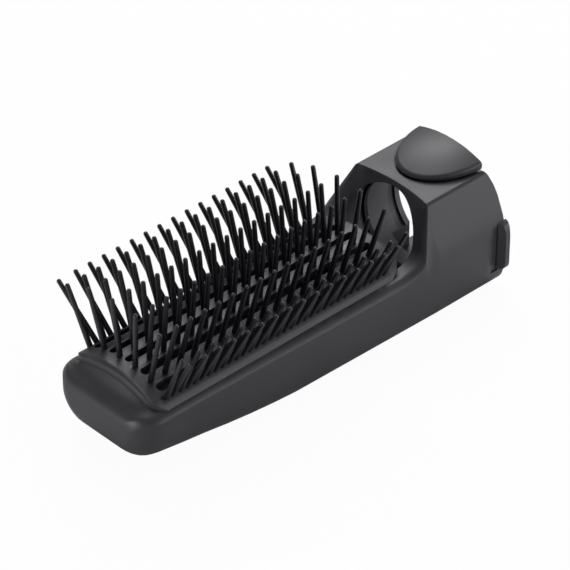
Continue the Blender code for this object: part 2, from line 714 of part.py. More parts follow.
def slot_mesh(across):
    """A long air slot with round ends."""
    radius = SLOT_WIDTH / 2
    outline = []
    for station, first in ((SLOT_END - radius, -pi / 2), (SLOT_START + radius, pi / 2)):
        for k in range(CORNER_STEPS + 1):
            turn = first + pi * k / CORNER_STEPS
            outline.append((at(station) + radius * cos(turn), across + radius * sin(turn)))
    return prism_mesh("slot", outline, "Z", SEAT_HEIGHT - OVERRUN, PLATE_CROWN_HEIGHT + OVERRUN)


def strip_places():
    """The middles of the six lands, from the near side to the far side."""
    count = SLOT_COUNT + 1
    return [LAND_PITCH * (k - (count - 1) / 2) for k in range(count)]


def strip_mesh(across, gap=0.0):
    """The bar of a pin strip in its groove, or the groove that holds it."""
    half = STRIP_WIDTH / 2 + gap
    top = crown(across)
    bottom = top - STRIP_HEIGHT - gap
    if gap:
        top = top + OVERRUN
    last = FIRST_ROW + ROW_PITCH * (ROW_COUNT - 1)
    start = FIRST_ROW - STRIP_END_MARGIN - gap
    end = last + STRIP_END_MARGIN + gap
    lean = -across / PLATE_CROWN_RADIUS
    points = [(-half, bottom), (half, bottom), (half, top), (-half, top)]
    outline = [(across + y, z + lean * y) for y, z in points]
    return prism_mesh("strip", outline, "X", at(start), at(end))


def pin_mesh_data(root, direction, length):
    """Rings of one pin: a tapered shaft with a rounded tip, its root sunk into the bar."""
    direction = direction.normalized()
    side = direction.cross(Vector((1, 0, 0))).normalized()
    other = direction.cross(side)
    shape = ((-STRIP_HEIGHT / 2, PIN_ROOT_RADIUS), (length - PIN_TIP_RADIUS, PIN_TIP_RADIUS),
             (length - PIN_TIP_RADIUS * PIN_BLUNT_SHARE, PIN_TIP_RADIUS * PIN_SHOULDER_SHARE),
             (length, PIN_TIP_RADIUS * PIN_BLUNT_SHARE))
    rings = []
    for distance, radius in shape:
        ring = []
        for k in range(PIN_SIDES):
            turn = 2 * pi * k / PIN_SIDES
            ring.append(root + direction * distance + radius * (cos(turn) * side + sin(turn) * other))
        rings.append(ring)
    return rings


def pins_mesh(rows):
    """All the pins of one strip as one mesh of separate bodies."""
    points = []
    faces = []
    for root, direction, length in rows:
        rings = pin_mesh_data(root, direction, length)
        base = len(points)
        count = len(rings)
        for ring in rings:
            points += ring
        faces.append(tuple(base + k for k in range(PIN_SIDES)))
        last = base + (count - 1) * PIN_SIDES
        faces.append(tuple(last + k for k in range(PIN_SIDES)))
        for row in range(count - 1):
            for k in range(PIN_SIDES):
                following = (k + 1) % PIN_SIDES
                low = base + row * PIN_SIDES
                high = low + PIN_SIDES
                faces.append((low + k, low + following, high + following, high + k))
    return mesh_from("pins", points, faces)


def pin_rows(across, lean, length, shift=0.0, rake=0.0, count=ROW_COUNT):
    """Roots, directions and lengths of one row of pins along the plate."""
    side = 1 if across > 0 else -1
    rows = []
    for k in range(count):
        own_rake = rake
        if k == 0:
            own_rake = rake - END_ROW_RAKE
        if k == ROW_COUNT - 1:
            own_rake = rake + END_ROW_RAKE
        root = Vector((at(FIRST_ROW + shift + ROW_PITCH * k), across, crown(across)))
        direction = Vector((sin(radians(own_rake)), side * sin(radians(lean)), cos(radians(lean))))
        rows.append((root, direction, length))
    return rows


def make_pin_strips(mat):
    kinds = ((OUTER_PIN_LEAN, OUTER_PIN_LENGTH), (MIDDLE_PIN_LEAN, MIDDLE_PIN_LENGTH),
             (INNER_PIN_LEAN, INNER_PIN_LENGTH))
    places = strip_places()
    for number, across in enumerate(places, start=1):
        name = f"pin_strip_{number}"
        strip = add_object(name, strip_mesh(across), mat)
        kind = min(number, len(places) + 1 - number)
        if kind == 1:
            join(strip, pins_mesh(pin_rows(across, SIDE_PIN_LEAN, SIDE_PIN_LENGTH)))
            outer = pin_rows(across, OUTER_PIN_LEAN, OUTER_PIN_LENGTH, OUTER_ROW_SHIFT,
                             OUTER_PIN_RAKE, ROW_COUNT - 1)
            join(strip, pins_mesh(outer))
        else:
            lean, length = kinds[kind - 1]
            join(strip, pins_mesh(pin_rows(across, lean, length)))
        tidy(strip)


def ring_profile(start, end, bore):
    outer = SLEEVE_RADIUS + SLEEVE_WALL
    return [(start, bore), (end, bore), (end, outer), (start, outer)]


def make_coupling(sleeve_mat, seal_mat):
    """Face seal, sleeve and retaining ring, one behind the other in the collar's tube."""
    seal_start = SEAT_START + FIT
    seal_end = seal_start + SEAL_THICKNESS
    profile = ring_profile(seal_start, seal_end, SLEEVE_RADIUS - SEAL_BORE_INSET)
    seal = add_object("seal_ring", tube_mesh("seal_ring", profile), seal_mat)
    tidy(seal)
    profile = ring_profile(seal_end + FIT, SLEEVE_END, SLEEVE_RADIUS)
    sleeve = add_object("coupling_sleeve", tube_mesh("coupling_sleeve", profile), sleeve_mat)
    profile = ring_profile(RING_START, SOCKET_START, RING_RADIUS)
    ring = add_object("retaining_ring", tube_mesh("retaining_ring", profile), sleeve_mat)
    for piece in (sleeve, ring):
        cut(piece, box_mesh("keyway", (at(KEY_POCKET_START), -KEY_POCKET_HALF_WIDTH, 0.0),
                            (at(SOCKET_START + OVERRUN), KEY_POCKET_HALF_WIDTH, BORE_HEIGHT)))
        tidy(piece)


def dome_height(station, across):
    """Height of the button's crown: it falls to the front and the sides, and rounds off at the rim."""
    place = Vector(((station - BUTTON_CENTRE) / BUTTON_REACH, across / BUTTON_HALF_WIDTH))
    fall = BUTTON_FRONT_FALL * place.x ** 2 + BUTTON_SIDE_FALL * place.y ** 2
    rim = ramp(place.length, BUTTON_RIM_SHARE, 1.0)
    return COLLAR_HEIGHT + BUTTON_CROWN_RISE - fall - BUTTON_RIM_DROP * rim ** 2


def dome_mesh(name, inset, drop, low):
    """A domed oval: crown lowered by a drop, its side drawn in slightly down to a height."""
    steps = ROUND_STEPS
    reach = BUTTON_REACH - inset
    half = BUTTON_HALF_WIDTH - inset
    points = [(at(BUTTON_CENTRE), 0.0, dome_height(BUTTON_CENTRE, 0.0) - drop)]
    for share in DOME_RING_SHARES:
        for k in range(steps):
            turn = 2 * pi * k / steps
            station = BUTTON_CENTRE + reach * share * cos(turn)
            across = half * share * sin(turn)
            points.append((at(station), across, dome_height(station, across) - drop))
    for k in range(steps):
        turn = 2 * pi * k / steps
        foot_x = (reach - BUTTON_DRAFT) * cos(turn)
        points.append((at(BUTTON_CENTRE) + foot_x, (half - BUTTON_DRAFT) * sin(turn), low))
    faces = [(0, 1 + k, 1 + (k + 1) % steps) for k in range(steps)]
    rings = len(DOME_RING_SHARES)
    for ring in range(rings):
        first = 1 + ring * steps
        second = first + steps
        for k in range(steps):
            following = (k + 1) % steps
            faces.append((first + k, second + k, second + following, first + following))
    faces.append(tuple(1 + rings * steps + k for k in range(steps)))
    return mesh_from(name, points, faces)


def make_release_button(mat):
    """The domed button, half an oval in plan, with its skirt, guide legs and plunger."""
    floor = COLLAR_HEIGHT - BUTTON_POCKET_DEPTH
    skirt_low = floor + BUTTON_TRAVEL + FIT
    wide = BUTTON_HALF_WIDTH + OVERRUN
    button = add_object("release_button", dome_mesh("release_button", 0.0, 0.0, skirt_low), mat)
    end = at(BUTTON_CENTRE + BUTTON_REACH + OVERRUN)
    cut(button, box_mesh("flat", (at(BUTTON_REAR), -wide, 0.0), (end, wide, COLLAR_HEIGHT * 2)))
    inside = dome_mesh("hollow", BUTTON_WALL, BUTTON_WALL, skirt_low - OVERRUN)
    hollow = add_object("hollow", inside)
    cut(hollow, box_mesh("flat", (at(BUTTON_REAR - BUTTON_WALL), -wide, 0.0), (end, wide, COLLAR_HEIGHT * 2)))
    cut(button, hollow.data)
    bpy.data.objects.remove(hollow, do_unlink=True)
    leg_low = floor - LEG_DEPTH + BUTTON_TRAVEL + FIT
    leg_high = dome_height(LEG_STATION, LEG_SPREAD) - BUTTON_WALL / 2
    for side in (-1, 1):
        y = side * LEG_SPREAD
        join(button, box_mesh("leg", (at(LEG_STATION) - LEG_LENGTH_X / 2, y - LEG_THICKNESS / 2, leg_low),
                              (at(LEG_STATION) + LEG_LENGTH_X / 2, y + LEG_THICKNESS / 2, leg_high)))
    plunger = round_plan(PLUNGER_STATION, 0.0, PLUNGER_RADIUS)
    crown_high = dome_height(PLUNGER_STATION, 0.0) - BUTTON_WALL / 2
    join(button, prism_mesh("plunger", plunger, "Z", SOCKET_TOP + PLUNGER_REACH, crown_high))
    tidy(button)
    return button


def spring_mesh(name, station, across, low, high):
    """A coil spring wound as one unbroken wire with flat ends."""
    count = SPRING_TURNS * SPRING_TURN_STEPS
    span = high - low - 2 * SPRING_WIRE_RADIUS
    rings = []
    for k in range(count + 1):
        turn = 2 * pi * k / SPRING_TURN_STEPS
        middle = Vector((at(station) + SPRING_RADIUS * cos(turn), across + SPRING_RADIUS * sin(turn),
                         low + SPRING_WIRE_RADIUS + span * k / count))
        outward = Vector((cos(turn), sin(turn), 0.0))
        up = Vector((0.0, 0.0, 1.0))
        ring = []
        for j in range(SPRING_SIDES):
            angle = 2 * pi * j / SPRING_SIDES
            ring.append(middle + SPRING_WIRE_RADIUS * (cos(angle) * outward + sin(angle) * up))
        rings.append(ring)
    return loft_mesh(name, rings)


def make_springs(mat):
    floor = COLLAR_HEIGHT - BUTTON_POCKET_DEPTH - SPRING_POCKET_DEPTH
    reach = SPRING_RADIUS + SPRING_WIRE_RADIUS
    ceiling = dome_height(SPRING_STATION - reach, SPRING_SPREAD + reach) - BUTTON_WALL
    for name, side in (("button_spring_near", -1), ("button_spring_far", 1)):
        mesh = spring_mesh(name, SPRING_STATION, side * SPRING_SPREAD, floor + FIT, ceiling - FIT)
        add_object(name, mesh, mat)


def main():
    clear_scene()
    shell = material("moulded shell, dark charcoal", (0.030, 0.030, 0.033), 0.42)
    vent = material("vent plate, dark charcoal", (0.026, 0.026, 0.029), 0.48)
    nylon = material("pin nylon, near black", (0.012, 0.012, 0.015), 0.35)
    lining = material("coupling lining, grey black", (0.045, 0.045, 0.048), 0.5)
    rubber = material("seal rubber, black", (0.008, 0.008, 0.008), 0.8)
    steel = material("spring steel", (0.55, 0.55, 0.56), 0.3, 1.0)
    make_housing(shell)
    make_bristle_plate(vent)
    make_pin_strips(nylon)
    make_coupling(lining, rubber)
    make_release_button(shell)
    make_springs(steel)


main()
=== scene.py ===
# %% [markdown]
# # A vented brush head for a hot air brush
#
# The object is a long moulded tray that slips over the nose of a blower handle. A crowned,
# slotted plate lies in the tray's rim and holds rows of stout pins that fan out to both sides.
# At the open end a square collar stands up, with a domed push button on its top.
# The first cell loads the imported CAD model. It is the fixed frame that every new piece follows.

from math import cos, pi, radians, sin, sqrt

import bmesh
import bpy
from mathutils import Matrix, Vector


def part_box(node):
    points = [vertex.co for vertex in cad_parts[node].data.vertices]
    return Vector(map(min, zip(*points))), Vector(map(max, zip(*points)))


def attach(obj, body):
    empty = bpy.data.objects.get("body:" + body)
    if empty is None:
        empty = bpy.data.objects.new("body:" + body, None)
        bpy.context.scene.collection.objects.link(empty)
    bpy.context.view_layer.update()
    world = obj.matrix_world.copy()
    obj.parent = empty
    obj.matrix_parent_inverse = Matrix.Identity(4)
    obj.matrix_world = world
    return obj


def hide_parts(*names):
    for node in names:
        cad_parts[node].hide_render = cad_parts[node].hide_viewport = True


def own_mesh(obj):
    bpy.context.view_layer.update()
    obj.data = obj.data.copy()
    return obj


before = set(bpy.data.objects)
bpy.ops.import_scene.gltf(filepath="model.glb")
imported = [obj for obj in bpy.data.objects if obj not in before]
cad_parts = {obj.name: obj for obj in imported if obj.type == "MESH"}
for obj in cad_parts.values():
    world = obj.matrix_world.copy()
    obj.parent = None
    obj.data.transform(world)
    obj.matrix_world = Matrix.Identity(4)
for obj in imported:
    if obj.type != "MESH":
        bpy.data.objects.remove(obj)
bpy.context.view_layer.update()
MM = 0.001


# %% [markdown]
# ## Sizes
#
# Blender works in metres, so every size is written as a number of millimetres times MM.
# A station is a distance along X from the closed tip, which is how a moulder would measure it.
# The sizes are those of the CAD model, because a dressed piece has to fill the same place. Three are
# not: the plate is 0.2 mm wider so that its seam is thin, its edge and the rim's shoulder are flatter,
# and the bars at the feet of the pins go deeper.

# %% Sizes of the tray and collar
BODY_LENGTH = 173.9 * MM
EAR_END = 174.8 * MM
TIP_HALF_WIDTH = 24.0 * MM
COLLAR_HALF_WIDTH = 26.3 * MM
TIP_CORNER_RADIUS = 10.2 * MM
RIM_HEIGHT = 26.6 * MM
COLLAR_HEIGHT = 47.5 * MM
COLLAR_TOP_HALF_WIDTH = 18.0 * MM
KNEE_HEIGHT = 28.0 * MM
KNEE_SOFTNESS = 4.0 * MM
BOTTOM_EDGE_RADIUS = 8.5 * MM
TIP_EDGE_EXTRA = 6.0 * MM
EDGE_HEIGHT_SHARE = 0.8
SHOULDER_SIZE = 2.6 * MM
SHOULDER_FULLNESS = 0.45
COLLAR_EDGE_SIZE = 0.9 * MM
TIP_TOP_RADIUS = 5.2 * MM
TIP_BOTTOM_RADIUS = 6.5 * MM
SLED_START = 73.0 * MM
SLED_RISE = 7.5 * MM
WIDTH_START = 27.0 * MM
COLLAR_START = 141.6 * MM
SWEEP_START = 118.5 * MM
SWEEP_CORNER = 131.5 * MM
SWEEP_END = 134.6 * MM
SWEEP_END_HEIGHT = 33.0 * MM
LIP_START = 140.4 * MM
LIP_HEIGHT = 45.1 * MM
LIP_CORNER = 141.2 * MM
FRONT_BOW = 2.2 * MM
REAR_LEAN = 2.4 * MM
REAR_LEAN_START = 40.5 * MM
REAR_EDGE_SIZE = 0.6 * MM
FIT = 0.3 * MM
OVERRUN = 2.0 * MM
NEAR = 0.03 * MM            # how far a place may be off when an edge is picked by it
MERGE = 0.003 * MM
SMOOTH_DEGREES = 30
ROUND_SIDES = 96
PEG_SIDES = 32


def at(station):
    """X of a station: the origin is the middle of the whole length."""
    return station - EAR_END / 2


def ramp(value, low, high):
    """0 below low, 1 above high, and even in between."""
    return min(max((value - low) / (high - low), 0.0), 1.0)


# %% [markdown]
# ## Helpers for modelling
#
# Blender's operators act on what is selected, so each step below first selects what it needs.
# `pick` chooses corners, edges or faces by their place, which is what a click does by hand.
# `carve` is a Boolean modifier that is applied at once, and its cutter is thrown away.

# %% Select, start and finish a piece
def deselect():
    if bpy.context.mode != "OBJECT":
        bpy.ops.object.mode_set(mode="OBJECT")
    bpy.ops.object.select_all(action="DESELECT")


def only(piece):
    """Make one piece the selected and active one."""
    deselect()
    piece.select_set(True)
    bpy.context.view_layer.objects.active = piece


def begin(name):
    """Name the new primitive, put its place in its mesh, and open it for editing."""
    piece = bpy.context.object
    piece.name = name
    piece.data.name = name
    bpy.ops.object.transform_apply(location=True, rotation=True, scale=True)
    bpy.ops.object.mode_set(mode="EDIT")
    bpy.ops.mesh.select_all(action="DESELECT")
    return piece


def pick(piece, kind, test):
    """Select the VERT, EDGE or FACE parts that pass a test, and say how many there are."""
    bpy.ops.mesh.select_mode(type=kind)
    bpy.ops.mesh.select_all(action="DESELECT")
    shape = bmesh.from_edit_mesh(piece.data)
    groups = {"VERT": shape.verts, "EDGE": shape.edges, "FACE": shape.faces}
    chosen = [part for part in groups[kind] if test(part)]
    for part in chosen:
        part.select_set(True)
    shape.select_flush_mode()
    bmesh.update_edit_mesh(piece.data)
    return len(chosen)


def middle(edge):
    return (edge.verts[0].co + edge.verts[1].co) / 2


def carve(piece, tool, operation="DIFFERENCE"):
    """Cut a tool out of a piece, or join it on, with an exact Boolean."""
    only(piece)
    change = piece.modifiers.new("carve", "BOOLEAN")
    change.operation = operation
    change.solver = "EXACT"
    change.object = tool
    bpy.ops.object.modifier_apply(modifier="carve")
    bpy.data.objects.remove(tool, do_unlink=True)


def clean(piece, degrees=SMOOTH_DEGREES):
    """Merge doubled corners, smooth what is rounder than an angle, keep flat faces flat."""
    only(piece)
    bpy.ops.object.mode_set(mode="EDIT")
    bpy.ops.mesh.select_all(action="SELECT")
    bpy.ops.mesh.remove_doubles(threshold=MERGE)
    bpy.ops.mesh.dissolve_degenerate(threshold=MERGE)
    bpy.ops.mesh.normals_make_consistent(inside=False)
    bpy.ops.object.mode_set(mode="OBJECT")
    bpy.ops.object.shade_smooth_by_angle(angle=radians(degrees))
    even = piece.modifiers.new("even", "WEIGHTED_NORMAL")
    even.keep_sharp = True
    bpy.ops.object.modifier_apply(modifier="even")
    piece.data.update()


def finish(piece, body, slot, mat, *nodes):
    """Hand a finished piece over: it moves with a body and stands for CAD nodes."""
    piece.data.materials.clear()
    piece.data.materials.append(mat)
    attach(piece, body)
    if nodes:
        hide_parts(*nodes)
    faces = len(piece.data.polygons)
    print(f"{piece.name}: {faces} faces, on {body}, for {', '.join(nodes) or 'no node'}")


def loft(name, rings):
    """A disc takes the first outline and is extruded from ring to ring, as by hand."""
    size = len(rings[0])
    bpy.ops.object.select_all(action="DESELECT")
    bpy.ops.mesh.primitive_circle_add(vertices=size, radius=MM, fill_type="NGON")
    piece = begin(name)
    bpy.ops.mesh.select_all(action="SELECT")
    for _ in rings[1:]:
        bpy.ops.mesh.extrude_region_move(TRANSFORM_OT_translate={"value": (0.0, 0.0, MM)})
    bpy.ops.object.mode_set(mode="OBJECT")
    layers = {}
    for corner in piece.data.vertices:
        turn = round(corner.co.to_2d().angle_signed(Vector((0, 1))) / (2 * pi) * size)
        layers.setdefault(round(corner.co.z / MM), {})[turn % size] = corner
    for level, ring in enumerate(rings):
        for k, place in enumerate(ring):
            layers[level][k].co = place
    only(piece)
    bpy.ops.object.mode_set(mode="EDIT")
    bpy.ops.mesh.select_all(action="SELECT")
    bpy.ops.mesh.normals_make_consistent(inside=False)
    bpy.ops.object.mode_set(mode="OBJECT")
    return piece


def block(name, low, high):
    """A box between two corners: a cutter, or a blank to be cut."""
    size = [b - a for a, b in zip(low, high)]
    centre = [(a + b) / 2 for a, b in zip(low, high)]
    bpy.ops.object.select_all(action="DESELECT")
    bpy.ops.mesh.primitive_cube_add(size=1, location=centre, scale=size)
    piece = begin(name)
    bpy.ops.object.mode_set(mode="OBJECT")
    return piece


def rod(name, radius, start, end, height):
    """A round bar along X, between two stations: a cutter, or a blank to be cut."""
    bpy.ops.object.select_all(action="DESELECT")
    bpy.ops.mesh.primitive_cylinder_add(vertices=ROUND_SIDES, radius=radius, depth=end - start,
                                        location=(at((start + end) / 2), 0, height), rotation=(0, pi / 2, 0))
    piece = begin(name)
    bpy.ops.object.mode_set(mode="OBJECT")
    return piece


# %% [markdown]
# ## Materials
#
# The whole head is injection moulded. The shell and the plate are ABS with a fine satin grain
# that the mould's spark-eroded steel leaves on them: it spreads the highlight and looks dark grey.
# The pins are nylon, smoother and nearly black, so that each one carries a thin bright line.
# All colours are written as sRGB hex values, and one function turns them to linear.

# %% Colour and node helpers
SRGB_KNEE, SRGB_SLOPE, SRGB_OFFSET, SRGB_POWER = 0.04045, 12.92, 0.055, 2.4


def linear(share):
    """One sRGB share, from 0 to 1, as a linear value."""
    if share <= SRGB_KNEE:
        return share / SRGB_SLOPE
    return ((share + SRGB_OFFSET) / (1 + SRGB_OFFSET)) ** SRGB_POWER


def colour(hex_value):
    """An sRGB hex value as linear colour with full alpha."""
    return (*[linear(part / 255) for part in bytes.fromhex(hex_value[1:])], 1.0)


def add(tree, kind, settings=None, links=None):
    """Add one node: settings go to its sockets or properties, links come from other nodes."""
    node = tree.nodes.new("ShaderNode" + kind)
    for key, value in (settings or {}).items():
        if isinstance(key, int) or key in node.inputs:
            node.inputs[key].default_value = value
        else:
            setattr(node, key, value)
    for key, source in (links or {}).items():
        tree.links.new(source, node.inputs[key])
    return node


def new_material(name):
    mat = bpy.data.materials.new(name)
    mat.use_nodes = True
    tree = mat.node_tree
    tree.nodes.clear()
    place = add(tree, "TexCoord").outputs["Object"]
    return mat, tree, place


def close_material(tree, shader):
    add(tree, "OutputMaterial", links={"Surface": shader.outputs[0]})


# %% Moulded satin plastic
GRAIN_SIZE = 0.35 * MM      # the real grain is about 0.1 mm, drawn coarser so that it shows
CLOUD_SIZE = 18.0 * MM      # slow changes in gloss from the flow of the melt
BUMP_DEPTH = 0.02 * MM
GRAIN_BUMP = 0.35
GRAIN_SHARE = 0.25          # of the tint; the clouds make the rest
CLOUD_NOISE = {"Scale": 1 / CLOUD_SIZE, "Detail": 3.0, "Roughness": 0.55}
GRAIN_NOISE = {"Scale": 1 / GRAIN_SIZE, "Detail": 2.0, "Roughness": 0.6}
EDGE_RUB = {"From Min": 0.52, "From Max": 0.66, "To Max": 0.35}
TINT_LOW, TINT_HIGH = 0.3, 0.7
PLASTIC_IOR = 1.5


def moulded_plastic(name, dark, light, gloss, bump=GRAIN_BUMP):
    """Injection moulded plastic: a little cloudy in colour and gloss, with a fine grain."""
    mat, tree, place = new_material(name)
    cloud = add(tree, "TexNoise", CLOUD_NOISE, {"Vector": place})
    fine = add(tree, "TexNoise", GRAIN_NOISE, {"Vector": place})
    worn = add(tree, "NewGeometry")
    edge = add(tree, "MapRange", EDGE_RUB, {"Value": worn.outputs["Pointiness"]})
    grained = add(tree, "Math", {"operation": "MULTIPLY", 1: GRAIN_SHARE}, {0: fine.outputs["Fac"]})
    share = add(tree, "Math", {"operation": "MULTIPLY_ADD", 1: 1 - GRAIN_SHARE},
                {0: cloud.outputs["Fac"], 2: grained.outputs[0]})
    tint = add(tree, "ValToRGB", links={"Fac": share.outputs[0]})
    for stop, position, tone in zip(tint.color_ramp.elements, (TINT_LOW, TINT_HIGH), (dark, light)):
        stop.position = position
        stop.color = colour(tone)
    rub = add(tree, "MixRGB", {"blend_type": "MIX", "Color2": colour(light)},
              {"Fac": edge.outputs[0], "Color1": tint.outputs["Color"]})
    rough = add(tree, "MapRange", {"From Min": TINT_LOW, "From Max": TINT_HIGH,
                                   "To Min": gloss[0], "To Max": gloss[1]}, {"Value": share.outputs[0]})
    relief = add(tree, "Bump", {"Strength": bump, "Distance": BUMP_DEPTH}, {"Height": fine.outputs["Fac"]})
    shader = add(tree, "BsdfPrincipled", {"IOR": PLASTIC_IOR},
                 {"Base Color": rub.outputs["Color"], "Roughness": rough.outputs[0],
                  "Normal": relief.outputs[0]})
    close_material(tree, shader)
    return mat


# The pair at the end of each call is the least and the greatest roughness.
shell_abs = moulded_plastic("moulded ABS shell, spark eroded satin", "#28282d", "#313137", (0.42, 0.52))
plate_abs = moulded_plastic("moulded ABS vent plate, satin", "#29292e", "#333339", (0.40, 0.50))
pin_nylon = moulded_plastic("moulded nylon pins, smooth", "#141419", "#1d1d24", (0.30, 0.38), bump=0.1)
# The lining's grey is partly its own and partly painted light: it is made lighter to stand for the light that
# comes in through the open end of the bore.
lining_nylon_lightened_as_painted_light = moulded_plastic("glass filled nylon lining, dull, lightened as painted light", "#4a4a50", "#5a5a61", (0.50, 0.62))
seal_rubber = moulded_plastic("silicone rubber seal, matt", "#101011", "#18181a", (0.70, 0.85), bump=0.2)
print("materials:", [mat.name for mat in bpy.data.materials if mat.node_tree])

# %% [markdown]
# ## Housing
#
# The tray and the collar are one moulding. Its outside changes slowly along its length, like a boat,
# so it is drawn as sections: a disc is given the outline of the tip, then extruded from station to
# station, and each new ring takes the outline of its place. The hollows are then cut with simple tools.

# %% Outline of the outside
# The first four are sizes of the vent plate, given here because the bead at the tip runs up to it.
SLOT_START = 13.8 * MM
PLATE_END_FALL = 1.8 * MM
PLATE_CROWN_RADIUS = 40.3 * MM
PLATE_CROWN_HEIGHT = 35.0 * MM
CORNER_STEPS = 10
TOP_STEPS = 24
TRAY_STEPS = 6
BEAD_START = 2.6 * MM
BEAD_DROP = 0.7 * MM
BEAD_HALF_WIDTH = 17.0 * MM
BEAD_REACH = 21.5 * MM
BEAD_POWER = 2.2
TOP_SHARE = 0.25            # of the shoulder, still taken as the flat top


def quarter_drop(distance, radius):
    """How far a quarter round falls away at a distance from its end face."""
    run = min(max(distance, 0.0), radius)
    return radius - sqrt(radius ** 2 - (radius - run) ** 2)


def half_width(station):
    share = ramp(station, WIDTH_START, COLLAR_START)
    straight = TIP_HALF_WIDTH + (COLLAR_HALF_WIDTH - TIP_HALF_WIDTH) * share
    return straight - quarter_drop(station, TIP_CORNER_RADIUS)


def underside(station):
    rise = SLED_RISE * (1 - ramp(station, 0, SLED_START)) ** 2
    return rise + quarter_drop(station, TIP_BOTTOM_RADIUS)


def side_at(station, height):
    """Half width at a height: upright below the knee, leaning in above it."""
    slope = (COLLAR_HALF_WIDTH - COLLAR_TOP_HALF_WIDTH) / (COLLAR_HEIGHT - KNEE_HEIGHT)
    over = height - (KNEE_HEIGHT - KNEE_SOFTNESS)
    if over <= 0:
        return half_width(station)
    if over < 2 * KNEE_SOFTNESS:
        return half_width(station) - slope * over ** 2 / (4 * KNEE_SOFTNESS)
    return half_width(station) - slope * (height - KNEE_HEIGHT)


def soft_corner(before, corner, after):
    """Points of a soft corner, drawn from one side to the other."""
    points = []
    for k in range(CORNER_STEPS + 1):
        t = k / CORNER_STEPS
        a, b, c = (1 - t) ** 2, 2 * t * (1 - t), t ** 2
        points.append(tuple(a * p + b * q + c * r for p, q, r in zip(before, corner, after)))
    return points


def eased(before, corner, after, fullness):
    """A corner that is drawn in towards its chord, so that the curve through it is flatter."""
    return tuple((a + c) / 2 * (1 - fullness) + b * fullness for a, b, c in zip(before, corner, after))


def bottom_round(wide, low, size):
    """(y, z) points of the round edge between the underside and a side."""
    turns = [-pi / 2 + pi / 2 * k / CORNER_STEPS for k in range(CORNER_STEPS + 1)]
    return [(wide - size + size * cos(turn), low + size + size * sin(turn)) for turn in turns]


def section(station, top, shoulder, inset=0.0):
    """One closed (y, z) outline of the outside, or moved inwards by an inset."""
    low = underside(station) + inset
    high = top - inset
    wide = half_width(station) - inset
    extra = TIP_EDGE_EXTRA * (1 - ramp(station, 0, SLED_START))
    room = (high - low - shoulder) * EDGE_HEIGHT_SHARE
    round_size = min(BOTTOM_EDGE_RADIUS + extra - inset, wide / 2, room)
    half = bottom_round(wide, low, round_size)
    start = low + round_size
    end = high - shoulder
    for k in range(1, CORNER_STEPS):
        height = start + (end - start) * k / CORNER_STEPS
        half.append((side_at(station, height) - inset, height))
    corner = (side_at(station, high) - inset, high)
    top_point = (corner[0] - shoulder, high)
    foot = (side_at(station, end) - inset, end)
    half += soft_corner(foot, eased(foot, corner, top_point, SHOULDER_FULLNESS), top_point)
    half += [(top_point[0] * (1 - k / TOP_STEPS), high) for k in range(1, TOP_STEPS)]
    return half + [(0.0, high)] + [(-y, z) for y, z in reversed(half)]


def top_stations():
    """(station, height) of the top: rim, concave sweep, leaning arch front, collar top."""
    pairs = []
    for k in range(2 * CORNER_STEPS + 1):
        station = TIP_CORNER_RADIUS * (1 - cos(pi / 4 * k / CORNER_STEPS))
        pairs.append((station, RIM_HEIGHT - quarter_drop(station, TIP_TOP_RADIUS)))
    for k in range(1, TRAY_STEPS + 1):
        pairs.append((TIP_CORNER_RADIUS + (SLED_START - TIP_CORNER_RADIUS) * k / TRAY_STEPS, RIM_HEIGHT))
    pairs += soft_corner((SWEEP_START, RIM_HEIGHT), (SWEEP_CORNER, RIM_HEIGHT), (SWEEP_END, SWEEP_END_HEIGHT))
    pairs += soft_corner((LIP_START, LIP_HEIGHT), (LIP_CORNER, COLLAR_HEIGHT), (COLLAR_START, COLLAR_HEIGHT))
    pairs += [(SOCKET_START, COLLAR_HEIGHT), (BODY_LENGTH - REAR_EDGE_SIZE, COLLAR_HEIGHT),
              (BODY_LENGTH, COLLAR_HEIGHT - REAR_EDGE_SIZE)]
    return pairs


def shoulder_at(top):
    """The rim's shoulder is soft, the collar's edges are crisp."""
    return SHOULDER_SIZE + (COLLAR_EDGE_SIZE - SHOULDER_SIZE) * ramp(top, SWEEP_END_HEIGHT, COLLAR_HEIGHT)


def shift_along(station, top, y, z):
    """The arch front bows back in its middle, and the open end leans in near the top."""
    bow = FRONT_BOW * max(1 - (y / COLLAR_TOP_HALF_WIDTH) ** 2, 0.0)
    bow *= ramp(top, SWEEP_END_HEIGHT, LIP_HEIGHT) * (1 - ramp(station, COLLAR_START, SOCKET_START))
    lean = REAR_LEAN * ramp(z, REAR_LEAN_START, COLLAR_HEIGHT) * ramp(station, SOCKET_START, BODY_LENGTH)
    return bow - lean


# %% Sizes of the hollows
WALL = 2.4 * MM
SEAT_HEIGHT = 24.0 * MM
CHAMBER_START = 15.0 * MM
CHAMBER_END = 126.2 * MM
CHAMBER_LEDGE = 1.6 * MM
CHAMBER_STEPS = 12
DUCT_RADIUS = 18.9 * MM
DUCT_START = 124.0 * MM
BORE_HEIGHT = 26.8 * MM
SEAT_RADIUS = 19.5 * MM
SEAT_START = 145.7 * MM
SOCKET_START = 164.4 * MM
SOCKET_WALL = 1.6 * MM
SOCKET_TOP = 45.7 * MM
KEY_POCKET_START = 154.4 * MM
KEY_POCKET_HALF_WIDTH = 12.5 * MM
KEY_POCKET_FLOOR = 3.0 * MM
TUBE_WALL = 1.6 * MM
CORE_START = 147.0 * MM
CORE_TOP = 39.0 * MM
NOTCH_START = 166.0 * MM
NOTCH_INNER = 16.5 * MM
NOTCH_HIGH = 17.8 * MM
RECESS_START = 167.4 * MM
RECESS_LOW = 8.5 * MM
RECESS_HIGH = 28.0 * MM
RECESS_DEPTH = 0.6 * MM
RECESS_SLOPE = 1.0 * MM
EAR_START = 170.3 * MM
EAR_FRONT_SLOPE = 1.6 * MM
EAR_REAR_EDGE = 0.8 * MM
EAR_PROUD = 2.7 * MM
EAR_LOW = 8.5 * MM
EAR_HIGH = 29.0 * MM
EAR_FLAT_LOW, EAR_FLAT_HIGH = 0.18, 0.66     # shares of its height
PLATE_START = 7.5 * MM
PLATE_END = 128.0 * MM
